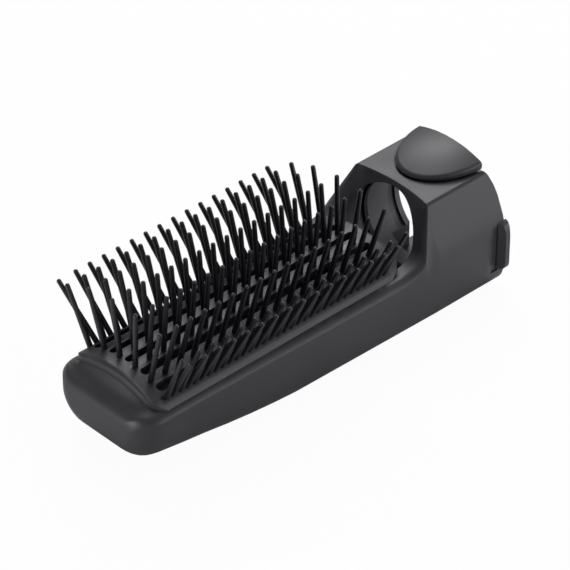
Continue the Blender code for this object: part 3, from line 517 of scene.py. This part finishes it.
PLATE_HALF_WIDTH = 22.1 * MM
POCKET_GAP = 0.08 * MM
PLATE_TIP_CORNER = 7.0 * MM
PLATE_REAR_CORNER = 9.0 * MM
PLATE_CORNER_STEPS = 16


# %% Outside of the housing
def bead(station, across):
    """The tip's rim sweeps up, hollow, to the end of the vent plate's crown."""
    crest = PLATE_CROWN_HEIGHT - PLATE_END_FALL - BEAD_DROP - across ** 2 / (2 * PLATE_CROWN_RADIUS)
    fade = 1 - ramp(abs(across), BEAD_HALF_WIDTH, BEAD_REACH)
    share = ramp(station, BEAD_START, PLATE_START) * (1 - ramp(station, TIP_CORNER_RADIUS, SLOT_START))
    return max(crest - RIM_HEIGHT, 0.0) * fade * share ** BEAD_POWER


def outside_rings():
    rings = []
    for station, top in top_stations():
        outline = section(station, top, shoulder_at(top))
        flat = top - SHOULDER_SIZE * TOP_SHARE
        outline = [(y, z + bead(station, y) * (z > flat)) for y, z in outline]
        rings.append([(at(station) + shift_along(station, top, y, z), y, z) for y, z in outline])
    return rings


deselect()
housing = loft("brush_housing", outside_rings())
print("housing outside:", len(housing.data.polygons), "faces")


# %% Ear and recess
def rounded_plate(name, start, end, half, tip_corner, rear_corner, low, high, steps):
    """A block whose upright corners are bevelled: small ones at the tip, larger at the rear."""
    piece = block(name, (at(start), -half, low), (at(end), half, high))
    only(piece)
    bpy.ops.object.mode_set(mode="EDIT")
    for x, radius in ((at(start), tip_corner), (at(end), rear_corner)):
        found = pick(piece, "EDGE", lambda e: abs(middle(e).x - x) < NEAR
                     and abs((e.verts[0].co - e.verts[1].co).z) > (high - low) / 2)
        if found != 2:
            raise ValueError(f"{name}: {found} upright edges at one end, not 2")
        bpy.ops.mesh.bevel(offset=radius, segments=steps, affect="EDGES")
    bpy.ops.object.mode_set(mode="OBJECT")
    return piece


height = EAR_HIGH - EAR_LOW
root = COLLAR_HALF_WIDTH - SOCKET_WALL / 2
face = COLLAR_HALF_WIDTH + EAR_PROUD
outside = face + OVERRUN
rings = []
for station, inner in ((RECESS_START - RECESS_SLOPE, COLLAR_HALF_WIDTH + FIT),
                       (RECESS_START + RECESS_SLOPE, COLLAR_HALF_WIDTH - RECESS_DEPTH),
                       (EAR_START + FIT, COLLAR_HALF_WIDTH - RECESS_DEPTH)):
    corners = ((outside, RECESS_LOW), (inner, RECESS_LOW), (inner, RECESS_HIGH), (outside, RECESS_HIGH))
    rings.append([(at(station), -y, z) for y, z in corners])
carve(housing, loft("recess", rings))
rings = []
for station, proud in ((EAR_START, COLLAR_HALF_WIDTH), (EAR_START + EAR_FRONT_SLOPE, face),
                       (EAR_END - EAR_REAR_EDGE, face), (EAR_END, face - EAR_REAR_EDGE)):
    half_ear = soft_corner((root, EAR_LOW), (proud, EAR_LOW), (proud, EAR_LOW + height * EAR_FLAT_LOW))
    half_ear += soft_corner((proud, EAR_LOW + height * EAR_FLAT_HIGH), (proud, EAR_HIGH), (root, EAR_HIGH))
    rings.append([(at(station), -y, z) for y, z in half_ear])
carve(housing, loft("ear", rings), "UNION")
print("housing with ear:", len(housing.data.polygons), "faces")

# %% Pocket, chamber, duct and socket
pocket = rounded_plate("pocket", PLATE_START - POCKET_GAP, PLATE_END + POCKET_GAP,
                       PLATE_HALF_WIDTH + POCKET_GAP, PLATE_TIP_CORNER + POCKET_GAP,
                       PLATE_REAR_CORNER + POCKET_GAP, SEAT_HEIGHT, COLLAR_HEIGHT + OVERRUN,
                       PLATE_CORNER_STEPS)
carve(housing, pocket)


def chamber_rings():
    """Rings of the air chamber: its floor keeps the wall's thickness over the rising underside."""
    rings = []
    wide = PLATE_HALF_WIDTH - CHAMBER_LEDGE
    for k in range(CHAMBER_STEPS + 1):
        station = CHAMBER_START + (CHAMBER_END - CHAMBER_START) * k / CHAMBER_STEPS
        round_size = (BOTTOM_EDGE_RADIUS - WALL) * (1 - underside(station) / SEAT_HEIGHT)
        half = bottom_round(wide, underside(station) + WALL, round_size)
        half.append((wide, SEAT_HEIGHT + OVERRUN))
        rings.append([(at(station), y, z) for y, z in half + [(-y, z) for y, z in reversed(half)]])
    return rings


def straight_rings(outline, start, end):
    return [[(at(station), y, z) for y, z in outline] for station in (start, end)]


carve(housing, loft("chamber", chamber_rings()))
carve(housing, rod("duct", DUCT_RADIUS, DUCT_START, SOCKET_START + OVERRUN, BORE_HEIGHT))
carve(housing, rod("seat", SEAT_RADIUS, SEAT_START, SOCKET_START + OVERRUN, BORE_HEIGHT))
inside = section(BODY_LENGTH, SOCKET_TOP + SOCKET_WALL, COLLAR_EDGE_SIZE, SOCKET_WALL)
carve(housing, loft("socket", straight_rings(inside, SOCKET_START, BODY_LENGTH + OVERRUN)))
inside = section(BODY_LENGTH, CORE_TOP + WALL, SHOULDER_SIZE, WALL)
room = loft("room", straight_rings(inside, CORE_START, SOCKET_START + OVERRUN))
carve(room, rod("tube", SEAT_RADIUS + TUBE_WALL, CORE_START - OVERRUN, BODY_LENGTH, BORE_HEIGHT))
web = KEY_POCKET_HALF_WIDTH + TUBE_WALL
carve(room, block("web", (at(CORE_START - OVERRUN), -web, 0.0), (at(BODY_LENGTH), web, BORE_HEIGHT)))
carve(housing, room)
carve(housing, block("keyway", (at(KEY_POCKET_START), -KEY_POCKET_HALF_WIDTH, KEY_POCKET_FLOOR),
                     (at(SOCKET_START + OVERRUN), KEY_POCKET_HALF_WIDTH, BORE_HEIGHT)))
carve(housing, block("notch", (at(NOTCH_START), NOTCH_INNER, -OVERRUN),
                     (at(BODY_LENGTH + OVERRUN), COLLAR_HALF_WIDTH + OVERRUN, NOTCH_HIGH)))
print("housing hollowed:", len(housing.data.polygons), "faces")

# %% Sizes of the button and its seat
BUTTON_CENTRE = 172.0 * MM
BUTTON_REACH = 23.8 * MM
BUTTON_HALF_WIDTH = 16.3 * MM
BUTTON_REAR = 171.2 * MM
BUTTON_DRAFT = 0.2 * MM
BUTTON_CROWN_RISE = 6.1 * MM
BUTTON_FRONT_FALL = 4.4 * MM
BUTTON_SIDE_FALL = 3.0 * MM
BUTTON_WALL = 1.6 * MM
BUTTON_TRAVEL = 1.0 * MM
BUTTON_POCKET_DEPTH = 0.8 * MM
PLUNGER_RADIUS = 2.0 * MM
PLUNGER_STATION = 167.2 * MM
PLUNGER_HOLE_GAP = 0.4 * MM
PLUNGER_REACH = 0.3 * MM
LEG_STATION = 161.5 * MM
LEG_SPREAD = 11.0 * MM
LEG_LENGTH_X = 4.0 * MM
LEG_THICKNESS = 1.8 * MM
LEG_DEPTH = 2.2 * MM
SPRING_STATION = 161.5 * MM
SPRING_SPREAD = 7.0 * MM
SPRING_RADIUS = 1.6 * MM
SPRING_WIRE_RADIUS = 0.25 * MM
SPRING_TURNS = 4
SPRING_POCKET_DEPTH = 0.6 * MM


# %% Seat of the button
def oval(name, inset, low, high, rear):
    """An upright oval disc that is cut off flat at a rear station."""
    bpy.ops.object.select_all(action="DESELECT")
    bpy.ops.mesh.primitive_cylinder_add(vertices=ROUND_SIDES, radius=1.0, depth=high - low,
                                        location=(at(BUTTON_CENTRE), 0, (low + high) / 2),
                                        scale=(BUTTON_REACH - inset, BUTTON_HALF_WIDTH - inset, 1.0))
    piece = begin(name)
    bpy.ops.mesh.select_all(action="SELECT")
    bpy.ops.mesh.bisect(plane_co=(at(rear), 0, 0), plane_no=(1, 0, 0), use_fill=True, clear_outer=True)
    bpy.ops.object.mode_set(mode="OBJECT")
    return piece


def upright(name, station, across, radius, low, high):
    """A round upright cutter or peg."""
    bpy.ops.object.select_all(action="DESELECT")
    bpy.ops.mesh.primitive_cylinder_add(vertices=PEG_SIDES, radius=radius, depth=high - low,
                                        location=(at(station), across, (low + high) / 2))
    piece = begin(name)
    bpy.ops.object.mode_set(mode="OBJECT")
    return piece


seat_floor = COLLAR_HEIGHT - BUTTON_POCKET_DEPTH
over = COLLAR_HEIGHT + OVERRUN
carve(housing, oval("button_seat", -FIT, seat_floor, over, BODY_LENGTH + REAR_EDGE_SIZE))
for side in (-1, 1):
    y = side * LEG_SPREAD
    reach_x = LEG_LENGTH_X / 2 + FIT
    reach_y = LEG_THICKNESS / 2 + FIT
    carve(housing, block("guide", (at(LEG_STATION) - reach_x, y - reach_y, seat_floor - LEG_DEPTH),
                         (at(LEG_STATION) + reach_x, y + reach_y, over)))
    carve(housing, upright("well", SPRING_STATION, side * SPRING_SPREAD,
                           SPRING_RADIUS + SPRING_WIRE_RADIUS + FIT, seat_floor - SPRING_POCKET_DEPTH, over))
carve(housing, upright("hole", PLUNGER_STATION, 0.0, PLUNGER_RADIUS + PLUNGER_HOLE_GAP,
                       SOCKET_TOP - OVERRUN, over))
clean(housing)
finish(housing, "head", "shell", shell_abs, "housing")

# %% [markdown]
# ## Vent plate
#
# The plate is a crowned lid with round ends, six lands and five long air slots between them.
# It starts as a block with bevelled corners. The crown is a second, larger body: what the two have
# in common is the plate. Slots, grooves and the hollow underneath are then cut away.

# %% Sizes of the plate
PLATE_EDGE_HEIGHT = 26.5 * MM
PLATE_EDGE_SIZE = 3.2 * MM
PLATE_EDGE_FULLNESS = 0.35
PLATE_END_SIZE = 2.0 * MM
PLATE_SKIN = 2.4 * MM
PLATE_RIB_WIDTH = 3.0 * MM
PLATE_RIBS = 3
SLOT_COUNT = 5
LAND_PITCH = 7.9 * MM
SLOT_WIDTH = 3.2 * MM
SLOT_END = 123.2 * MM
STRIP_WIDTH = 2.3 * MM
STRIP_HEIGHT = 1.9 * MM
STRIP_END_MARGIN = 2.2 * MM
SEAM = 0.03 * MM
SLOT_END_RADIUS = 1.59 * MM     # a hair less than half the width, so that a flat remains
SLOT_STEPS = 8
CROWN_STEPS = 24
ROW_PITCH = 6.5 * MM
ROW_COUNT = 17
FIRST_ROW = 14.6 * MM


# %% Crown of the plate
def crown(across, drop=0.0):
    """Height of the crowned top at a distance from the middle."""
    return PLATE_CROWN_HEIGHT - drop - across ** 2 / (2 * PLATE_CROWN_RADIUS)


def crown_outline(half, edge_size, low, drop):
    """(y, z) outline under a crown: flat below, round shoulders at the sides."""
    reach = half - edge_size
    places = [reach - 2 * reach * k / CROWN_STEPS for k in range(CROWN_STEPS + 1)]
    arc = [(across, crown(across, drop)) for across in places]
    foot = (half, PLATE_EDGE_HEIGHT - drop)
    left = soft_corner(foot, eased(foot, (half, crown(half, drop)), arc[0], PLATE_EDGE_FULLNESS), arc[0])
    right = [(-y, z) for y, z in reversed(left)]
    return [(half, low)] + left + arc[1:-1] + right + [(-half, low)]


def crown_share(across):
    """How much of the end's fall a point takes: all of it in the middle, less at the sides."""
    return (crown(across) - PLATE_EDGE_HEIGHT) / (crown(0.0) - PLATE_EDGE_HEIGHT)


def crown_rings():
    """Rings of the crowned top, let down round at both ends."""
    places = []
    for k in range(CORNER_STEPS + 1):
        turn = pi / 2 * k / CORNER_STEPS
        places.append((PLATE_END_SIZE * (1 - cos(turn)), PLATE_END_FALL * (1 - sin(turn))))
    ends = [(PLATE_START - OVERRUN, PLATE_END_FALL)] + [(PLATE_START + run, fall) for run, fall in places]
    ends += [(PLATE_END - run, fall) for run, fall in reversed(places)]
    ends += [(PLATE_END + OVERRUN, PLATE_END_FALL)]
    outline = crown_outline(PLATE_HALF_WIDTH, PLATE_EDGE_SIZE, SEAT_HEIGHT, 0.0)
    return [[(at(station), y, max(z - fall * crown_share(y), SEAT_HEIGHT)) for y, z in outline]
            for station, fall in ends]


plate = rounded_plate("vent_plate", PLATE_START, PLATE_END, PLATE_HALF_WIDTH, PLATE_TIP_CORNER,
                      PLATE_REAR_CORNER, SEAT_HEIGHT + FIT, PLATE_CROWN_HEIGHT + OVERRUN,
                      PLATE_CORNER_STEPS)
carve(plate, loft("crown", crown_rings()), "INTERSECT")
print("plate blank:", len(plate.data.polygons), "faces")


# %% Hollow, slots and grooves
def strip_places():
    """The middles of the six lands, from the near side to the far side."""
    return [LAND_PITCH * (k - SLOT_COUNT / 2) for k in range(SLOT_COUNT + 1)]


def strip_block(name, across, gap=0.0):
    """The bar of a pin strip, or the groove that holds it. It stands over the crown, to be trimmed."""
    half = STRIP_WIDTH / 2 + gap
    top = crown(across)
    last = FIRST_ROW + ROW_PITCH * (ROW_COUNT - 1)
    piece = block(name, (at(FIRST_ROW - STRIP_END_MARGIN - gap), across - half, top - STRIP_HEIGHT - gap),
                  (at(last + STRIP_END_MARGIN + gap), across + half, top + OVERRUN))
    for corner in piece.data.vertices:
        corner.co.z -= (corner.co.y - across) * across / PLATE_CROWN_RADIUS
    return piece


bays = PLATE_RIBS + 1
start = SLOT_START - PLATE_SKIN / 2
length = SLOT_END + PLATE_SKIN / 2 - start
for bay in range(bays):
    low = start + length * bay / bays + (PLATE_RIB_WIDTH / 2 if bay else 0.0)
    high = start + length * (bay + 1) / bays - (PLATE_RIB_WIDTH / 2 if bay < bays - 1 else 0.0)
    outline = crown_outline(PLATE_HALF_WIDTH - PLATE_SKIN, PLATE_EDGE_SIZE - PLATE_SKIN / 2,
                            SEAT_HEIGHT - OVERRUN, PLATE_SKIN)
    carve(plate, loft("bay", straight_rings(outline, low, high)))
for k in range(SLOT_COUNT):
    across = LAND_PITCH * (k - (SLOT_COUNT - 1) / 2)
    slot = rounded_plate("slot", SLOT_START, SLOT_END, SLOT_WIDTH / 2, SLOT_END_RADIUS, SLOT_END_RADIUS,
                         SEAT_HEIGHT - OVERRUN, PLATE_CROWN_HEIGHT + OVERRUN, SLOT_STEPS)
    slot.data.transform(Matrix.Translation((0, across, 0)))
    carve(plate, slot)
for across in strip_places():
    carve(plate, strip_block("groove", across, SEAM))
clean(plate)
finish(plate, "head", "vent_plate", plate_abs, "bristle_plate")

# %% [markdown]
# ## Pins
#
# A pin is a tapered shaft with a rounded end. One is modelled from a cylinder: its top is drawn in
# and its edge is rounded. The others are copies that are turned to their lean and set in rows, so
# each strip of pins is one piece, as it is moulded.

# %% Sizes of the pins
PIN_ROOT_RADIUS = 1.10 * MM
PIN_TIP_RADIUS = 0.86 * MM
PIN_SIDES = 12
PIN_FOOT_SHARE = 0.9        # of the bar's height
PIN_BLUNT_SHARE = 0.85      # of the tip's radius
PIN_BLUNT_STEPS = 3
PIN_SMOOTH_DEGREES = 40
PIN_ROWS = {  # length in metres, lean in degrees
    "inner": (23.9 * MM, 5.0),
    "middle": (24.2 * MM, 15.5),
    "side": (24.1 * MM, 24.0),
    "outer": (26.4 * MM, 31.9),
}
OUTER_PIN_RAKE = -8.1
OUTER_ROW_SHIFT = 3.1 * MM
END_ROW_RAKE = 3.0


# %% One pin
def model_pin(length):
    """One pin on the origin, pointing up: a cylinder, drawn in at the top and rounded there."""
    foot = STRIP_HEIGHT * PIN_FOOT_SHARE
    bpy.ops.object.select_all(action="DESELECT")
    bpy.ops.mesh.primitive_cylinder_add(vertices=PIN_SIDES, radius=PIN_ROOT_RADIUS, depth=length + foot,
                                        location=(0, 0, (length - foot) / 2))
    pin = begin("pin")
    pick(pin, "FACE", lambda f: f.calc_center_median().z > length / 2 and len(f.verts) == PIN_SIDES)
    share = PIN_TIP_RADIUS / PIN_ROOT_RADIUS
    bpy.ops.transform.resize(value=(share, share, 1.0), center_override=(0, 0, length))
    pick(pin, "EDGE", lambda e: middle(e).z > length - NEAR)
    bpy.ops.mesh.bevel(offset=PIN_TIP_RADIUS * PIN_BLUNT_SHARE, segments=PIN_BLUNT_STEPS, affect="EDGES")
    bpy.ops.object.mode_set(mode="OBJECT")
    return pin.data


def pin_row(across, kind, shift=0.0, rake=0.0, count=ROW_COUNT):
    """Copies of one pin, each turned to its lean and set in its place."""
    length, lean = PIN_ROWS[kind]
    model = model_pin(length)
    side = 1 if across > 0 else -1
    copies = []
    for k in range(count):
        own_rake = rake - END_ROW_RAKE * (k == 0) + END_ROW_RAKE * (k == ROW_COUNT - 1)
        direction = Vector((sin(radians(own_rake)), side * sin(radians(lean)), cos(radians(lean))))
        turn = direction.to_track_quat("Z", "Y").to_matrix().to_4x4()
        root = Vector((at(FIRST_ROW + shift + ROW_PITCH * k), across, crown(across)))
        copy = bpy.data.objects.new("pin", model.copy())
        copy.data.transform(Matrix.Translation(root) @ turn)
        bpy.context.collection.objects.link(copy)
        copies.append(copy)
    bpy.data.objects.remove(bpy.context.object, do_unlink=True)
    return copies


# %% Six strips of pins
LAND_KINDS = ("side", "middle", "inner", "inner", "middle", "side")

for number, (across, kind) in enumerate(zip(strip_places(), LAND_KINDS), start=1):
    strip = strip_block(f"pins_{number}", across)
    carve(strip, loft("crown", crown_rings()), "INTERSECT")
    pins = pin_row(across, kind)
    if kind == "side":
        pins += pin_row(across, "outer", OUTER_ROW_SHIFT, OUTER_PIN_RAKE, ROW_COUNT - 1)
    deselect()
    for pin in pins:
        pin.select_set(True)
    bpy.context.view_layer.objects.active = pins[0]
    bpy.ops.object.join()
    carve(strip, bpy.context.object, "UNION")
    clean(strip, PIN_SMOOTH_DEGREES)
    finish(strip, "head", "pins", pin_nylon, f"pin_strip_{number}")

# %% [markdown]
# ## Release button
#
# The button is half an oval dome with a soft rim. It is drawn as oval rings, from its skirt up to its
# crown, and bisected flat at the open end. A smaller dome hollows it, and legs and plunger are joined on.

# %% Dome of the button
BUTTON_RIM_DROP = 0.8 * MM
BUTTON_RIM_SHARE = 0.94
DOME_STEPS = 14
RIM_STEPS = 6
BUTTON_SMOOTH_DEGREES = 35


def dome_height(station, across):
    """Height of the crown: it falls to the front and the sides, and rounds off at the rim."""
    place = Vector(((station - BUTTON_CENTRE) / BUTTON_REACH, across / BUTTON_HALF_WIDTH))
    fall = BUTTON_FRONT_FALL * place.x ** 2 + BUTTON_SIDE_FALL * place.y ** 2
    rim = ramp(place.length, BUTTON_RIM_SHARE, 1.0)
    return COLLAR_HEIGHT + BUTTON_CROWN_RISE - fall - BUTTON_RIM_DROP * rim ** 2


def dome(name, inset, drop, low, rear):
    """A domed oval with an upright skirt, cut off flat at a rear station."""
    reach = BUTTON_REACH - inset
    half = BUTTON_HALF_WIDTH - inset
    shares = [BUTTON_RIM_SHARE * k / DOME_STEPS for k in range(1, DOME_STEPS + 1)]
    shares += [BUTTON_RIM_SHARE + (1 - BUTTON_RIM_SHARE) * k / RIM_STEPS for k in range(1, RIM_STEPS + 1)]
    turns = [2 * pi * k / ROUND_SIDES for k in range(ROUND_SIDES)]
    rings = [[(at(BUTTON_CENTRE) + (reach - BUTTON_DRAFT) * cos(turn),
               (half - BUTTON_DRAFT) * sin(turn), low) for turn in turns]]
    for share in reversed(shares):
        places = [(BUTTON_CENTRE + reach * share * cos(turn), half * share * sin(turn)) for turn in turns]
        rings.append([(at(station), y, dome_height(station, y) - drop) for station, y in places])
    piece = loft(name, rings)
    only(piece)
    bpy.ops.object.mode_set(mode="EDIT")
    bpy.ops.mesh.select_all(action="SELECT")
    bpy.ops.mesh.bisect(plane_co=(at(rear), 0, 0), plane_no=(1, 0, 0), use_fill=True, clear_outer=True)
    bpy.ops.object.mode_set(mode="OBJECT")
    return piece


skirt_low = seat_floor + BUTTON_TRAVEL + FIT
button = dome("push_button", 0.0, 0.0, skirt_low, BUTTON_REAR)
hollow = dome("hollow", BUTTON_WALL, BUTTON_WALL, skirt_low - OVERRUN, BUTTON_REAR - BUTTON_WALL)
carve(button, hollow)


# %% Legs and plunger of the button
leg_low = seat_floor - LEG_DEPTH + BUTTON_TRAVEL + FIT
leg_high = dome_height(LEG_STATION, LEG_SPREAD) - BUTTON_WALL / 2
for side in (-1, 1):
    y = side * LEG_SPREAD
    carve(button, block("leg", (at(LEG_STATION) - LEG_LENGTH_X / 2, y - LEG_THICKNESS / 2, leg_low),
                        (at(LEG_STATION) + LEG_LENGTH_X / 2, y + LEG_THICKNESS / 2, leg_high)), "UNION")
plunger_high = dome_height(PLUNGER_STATION, 0.0) - BUTTON_WALL / 2
carve(button, upright("plunger", PLUNGER_STATION, 0.0, PLUNGER_RADIUS, SOCKET_TOP + PLUNGER_REACH,
                      plunger_high), "UNION")
clean(button, BUTTON_SMOOTH_DEGREES)
finish(button, "button", "shell", shell_abs, "release_button")

# %% [markdown]
# ## Coupling and springs
#
# Behind the arch a thin sleeve, a face seal and a retaining ring line the bore. Each is a round bar with
# a round bore through it. The keyway is cut out of the sleeve and the ring.

# %% Tubes about the bore
SLEEVE_RADIUS = 18.3 * MM
SLEEVE_WALL = 0.9 * MM
SLEEVE_END = 158.2 * MM
RING_START = 162.2 * MM
SEAL_BORE_INSET = 0.3 * MM
SEAL_THICKNESS = 1.6 * MM
RING_RADIUS = 18.7 * MM


def tube(name, start, end, bore):
    """A tube along X, between two stations."""
    piece = rod(name, SLEEVE_RADIUS + SLEEVE_WALL, start, end, BORE_HEIGHT)
    carve(piece, rod("bore", bore, start - OVERRUN, end + OVERRUN, BORE_HEIGHT))
    return piece


seal_start = SEAT_START + FIT
seal_end = seal_start + SEAL_THICKNESS
seal = tube("face_seal", seal_start, seal_end, SLEEVE_RADIUS - SEAL_BORE_INSET)
clean(seal)
finish(seal, "head", "seal", seal_rubber, "seal_ring")
sleeve = tube("lining_sleeve", seal_end + FIT, SLEEVE_END, SLEEVE_RADIUS)
ring = tube("lining_ring", RING_START, SOCKET_START, RING_RADIUS)
# Sleeve and ring take the lining colour, which is partly painted light from the open end of the bore.
for piece, node in ((sleeve, "coupling_sleeve"), (ring, "retaining_ring")):
    carve(piece, block("keyway", (at(KEY_POCKET_START), -KEY_POCKET_HALF_WIDTH, 0.0),
                       (at(SOCKET_START + OVERRUN), KEY_POCKET_HALF_WIDTH, BORE_HEIGHT)))
    clean(piece)
    finish(piece, "head", "lining", lining_nylon_lightened_as_painted_light, node)

# %% Springs
DRAW_LINE_SIZE = 0.2 * MM
STEEL_GLOSS = {"To Min": 0.22, "To Max": 0.38}
WIRE_SIDES = 8
COIL_STEPS = 24
COIL_SMOOTH_DEGREES = 50

spring_steel, tree, place = new_material("drawn spring steel, bright")
lines = add(tree, "TexNoise", {"Scale": 1 / DRAW_LINE_SIZE, "Detail": 2.0}, {"Vector": place})
gloss = add(tree, "MapRange", STEEL_GLOSS, {"Value": lines.outputs["Fac"]})
steel = add(tree, "BsdfPrincipled", {"Base Color": colour("#c4c5c8"), "Metallic": 1.0},
            {"Roughness": gloss.outputs[0]})
close_material(tree, steel)

for name, side in (("near", -1), ("far", 1)):
    node = f"button_spring_{name}"
    low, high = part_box(node)
    length = high.z - low.z
    turn_height = (length - 2 * SPRING_WIRE_RADIUS) / SPRING_TURNS
    bpy.ops.object.select_all(action="DESELECT")
    bpy.ops.mesh.primitive_circle_add(vertices=WIRE_SIDES, radius=SPRING_WIRE_RADIUS, rotation=(pi / 2, 0, 0),
                                      location=(SPRING_RADIUS, 0, SPRING_WIRE_RADIUS))
    coil = begin(f"coil_{name}")
    bpy.ops.object.mode_set(mode="OBJECT")
    wind = coil.modifiers.new("wind", "SCREW")
    wind.angle = 2 * pi
    wind.screw_offset = turn_height
    wind.iterations = SPRING_TURNS
    wind.steps = COIL_STEPS
    wind.render_steps = COIL_STEPS
    wind.use_merge_vertices = False
    bpy.ops.object.modifier_apply(modifier="wind")
    coil.data.transform(Matrix.Translation((at(SPRING_STATION), side * SPRING_SPREAD, low.z)))
    only(coil)
    bpy.ops.object.mode_set(mode="EDIT")
    bpy.ops.mesh.select_mode(type="EDGE")
    bpy.ops.mesh.select_all(action="DESELECT")
    bpy.ops.mesh.select_non_manifold()
    bpy.ops.mesh.fill_holes(sides=0)
    bpy.ops.object.mode_set(mode="OBJECT")
    clean(coil, COIL_SMOOTH_DEGREES)
    finish(coil, "head", "spring", spring_steel, node)
    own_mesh(coil)

# %% [markdown]
# ## Stage, light and camera
#
# The photograph is a plain product shot on white. The floor is pale, and the camera sees it almost
# all by its own light, so that it reads white and still keeps a faint shadow.

# %% Floor
FLOOR_SIZE = 6.0
FLOOR_DROP = 0.05 * MM
FLOOR_GLOW = 0.96           # the share of its own light that the camera sees
deselect()
bpy.ops.mesh.primitive_plane_add(size=FLOOR_SIZE, location=(0, 0, -FLOOR_DROP))
floor = bpy.context.object
floor.name = "floor"
paper, tree, _ = new_material("white paper sweep")
seen = add(tree, "LightPath")
matt = add(tree, "BsdfDiffuse", {"Color": colour("#ececec")})
glow = add(tree, "Emission", {"Color": colour("#ffffff"), "Strength": 1.0})
share = add(tree, "Math", {"operation": "MULTIPLY", 1: FLOOR_GLOW}, {0: seen.outputs["Is Camera Ray"]})
both = add(tree, "MixShader", links={0: share.outputs[0], 1: matt.outputs[0], 2: glow.outputs[0]})
close_material(tree, both)
floor.data.materials.append(paper)

# %% World and lamps
WORLD_LEVEL = 0.26
LAMPS = {  # place and target in metres, size in metres, power in watts
    "back_softbox": ((0.55, 0.65, 0.9), (0.02, 0, 0.03), 0.6, 8.0),
    "top_softbox": ((0.1, 0.1, 1.3), (0, 0, 0.02), 0.6, 3.5),
    "side_softbox": ((0.35, -1.2, 0.02), (0, 0, 0.02), 0.8, 6.0),
    "front_softbox": ((-1.0, 0.15, 0.05), (-0.09, 0, 0.01), 0.12, 4.0),
    "bore_softbox": ((1.0, -0.55, 0.1), (0.08, 0, 0.03), 0.5, 6.5),
}

world = bpy.data.worlds.new("studio")
bpy.context.scene.world = world
world.use_nodes = True
tree = world.node_tree
tree.nodes.clear()
seen = add(tree, "LightPath")
plain = add(tree, "Background", {"Color": colour("#ffffff"), "Strength": WORLD_LEVEL})
white = add(tree, "Background", {"Color": colour("#ffffff"), "Strength": 1.0})
choice = add(tree, "MixShader",
             links={0: seen.outputs["Is Camera Ray"], 1: plain.outputs[0], 2: white.outputs[0]})
add(tree, "OutputWorld", links={"Surface": choice.outputs[0]})
for name, (place, target, size, power) in LAMPS.items():
    lamp = bpy.data.lights.new(name, "AREA")
    lamp.shape = "SQUARE"
    lamp.size = size
    lamp.energy = power
    holder = bpy.data.objects.new(name, lamp)
    bpy.context.collection.objects.link(holder)
    holder.location = place
    holder.rotation_euler = (Vector(target) - Vector(place)).to_track_quat("-Z", "Y").to_euler()
print("lamps:", ", ".join(LAMPS))

# %% Camera
# The place was worked out from the rows of pins: their even pitch gives the angle and the distance.
# The shifts are measured from a point over the first row of pins, at the target's height.
AZIMUTH, ELEVATION, ROLL = radians(-43.829), radians(36.604), radians(0.352)
DISTANCE, SHIFT_RIGHT, SHIFT_UP = 208.317, -8.262, -1.031    # in row pitches
FOCAL_PIXELS, PHOTO_PIXELS, SENSOR = 4000.0, 570.0, 36.0
TARGET_HEIGHT = 58.5 * MM
FAR_CLIP = 10.0
back = Vector((sin(AZIMUTH) * cos(ELEVATION), -cos(AZIMUTH) * cos(ELEVATION), sin(ELEVATION)))
right = Vector((cos(AZIMUTH), sin(AZIMUTH), 0.0))
up = back.cross(right)
across_view = cos(ROLL) * right + sin(ROLL) * up
up_view = cos(ROLL) * up - sin(ROLL) * right
target = Vector((at(FIRST_ROW), 0.0, TARGET_HEIGHT))
place = target + ROW_PITCH * (DISTANCE * back - SHIFT_RIGHT * across_view - SHIFT_UP * up_view)
lens = bpy.data.cameras.new("camera")
lens.sensor_width = SENSOR
lens.lens = SENSOR * FOCAL_PIXELS / PHOTO_PIXELS
lens.clip_end = FAR_CLIP
camera = bpy.data.objects.new("camera", lens)
bpy.context.collection.objects.link(camera)
turned = Matrix((across_view, up_view, back)).transposed()
camera.matrix_world = Matrix.Translation(place) @ turned.to_4x4()
bpy.context.scene.camera = camera
bpy.context.scene.view_settings.view_transform = "Standard"
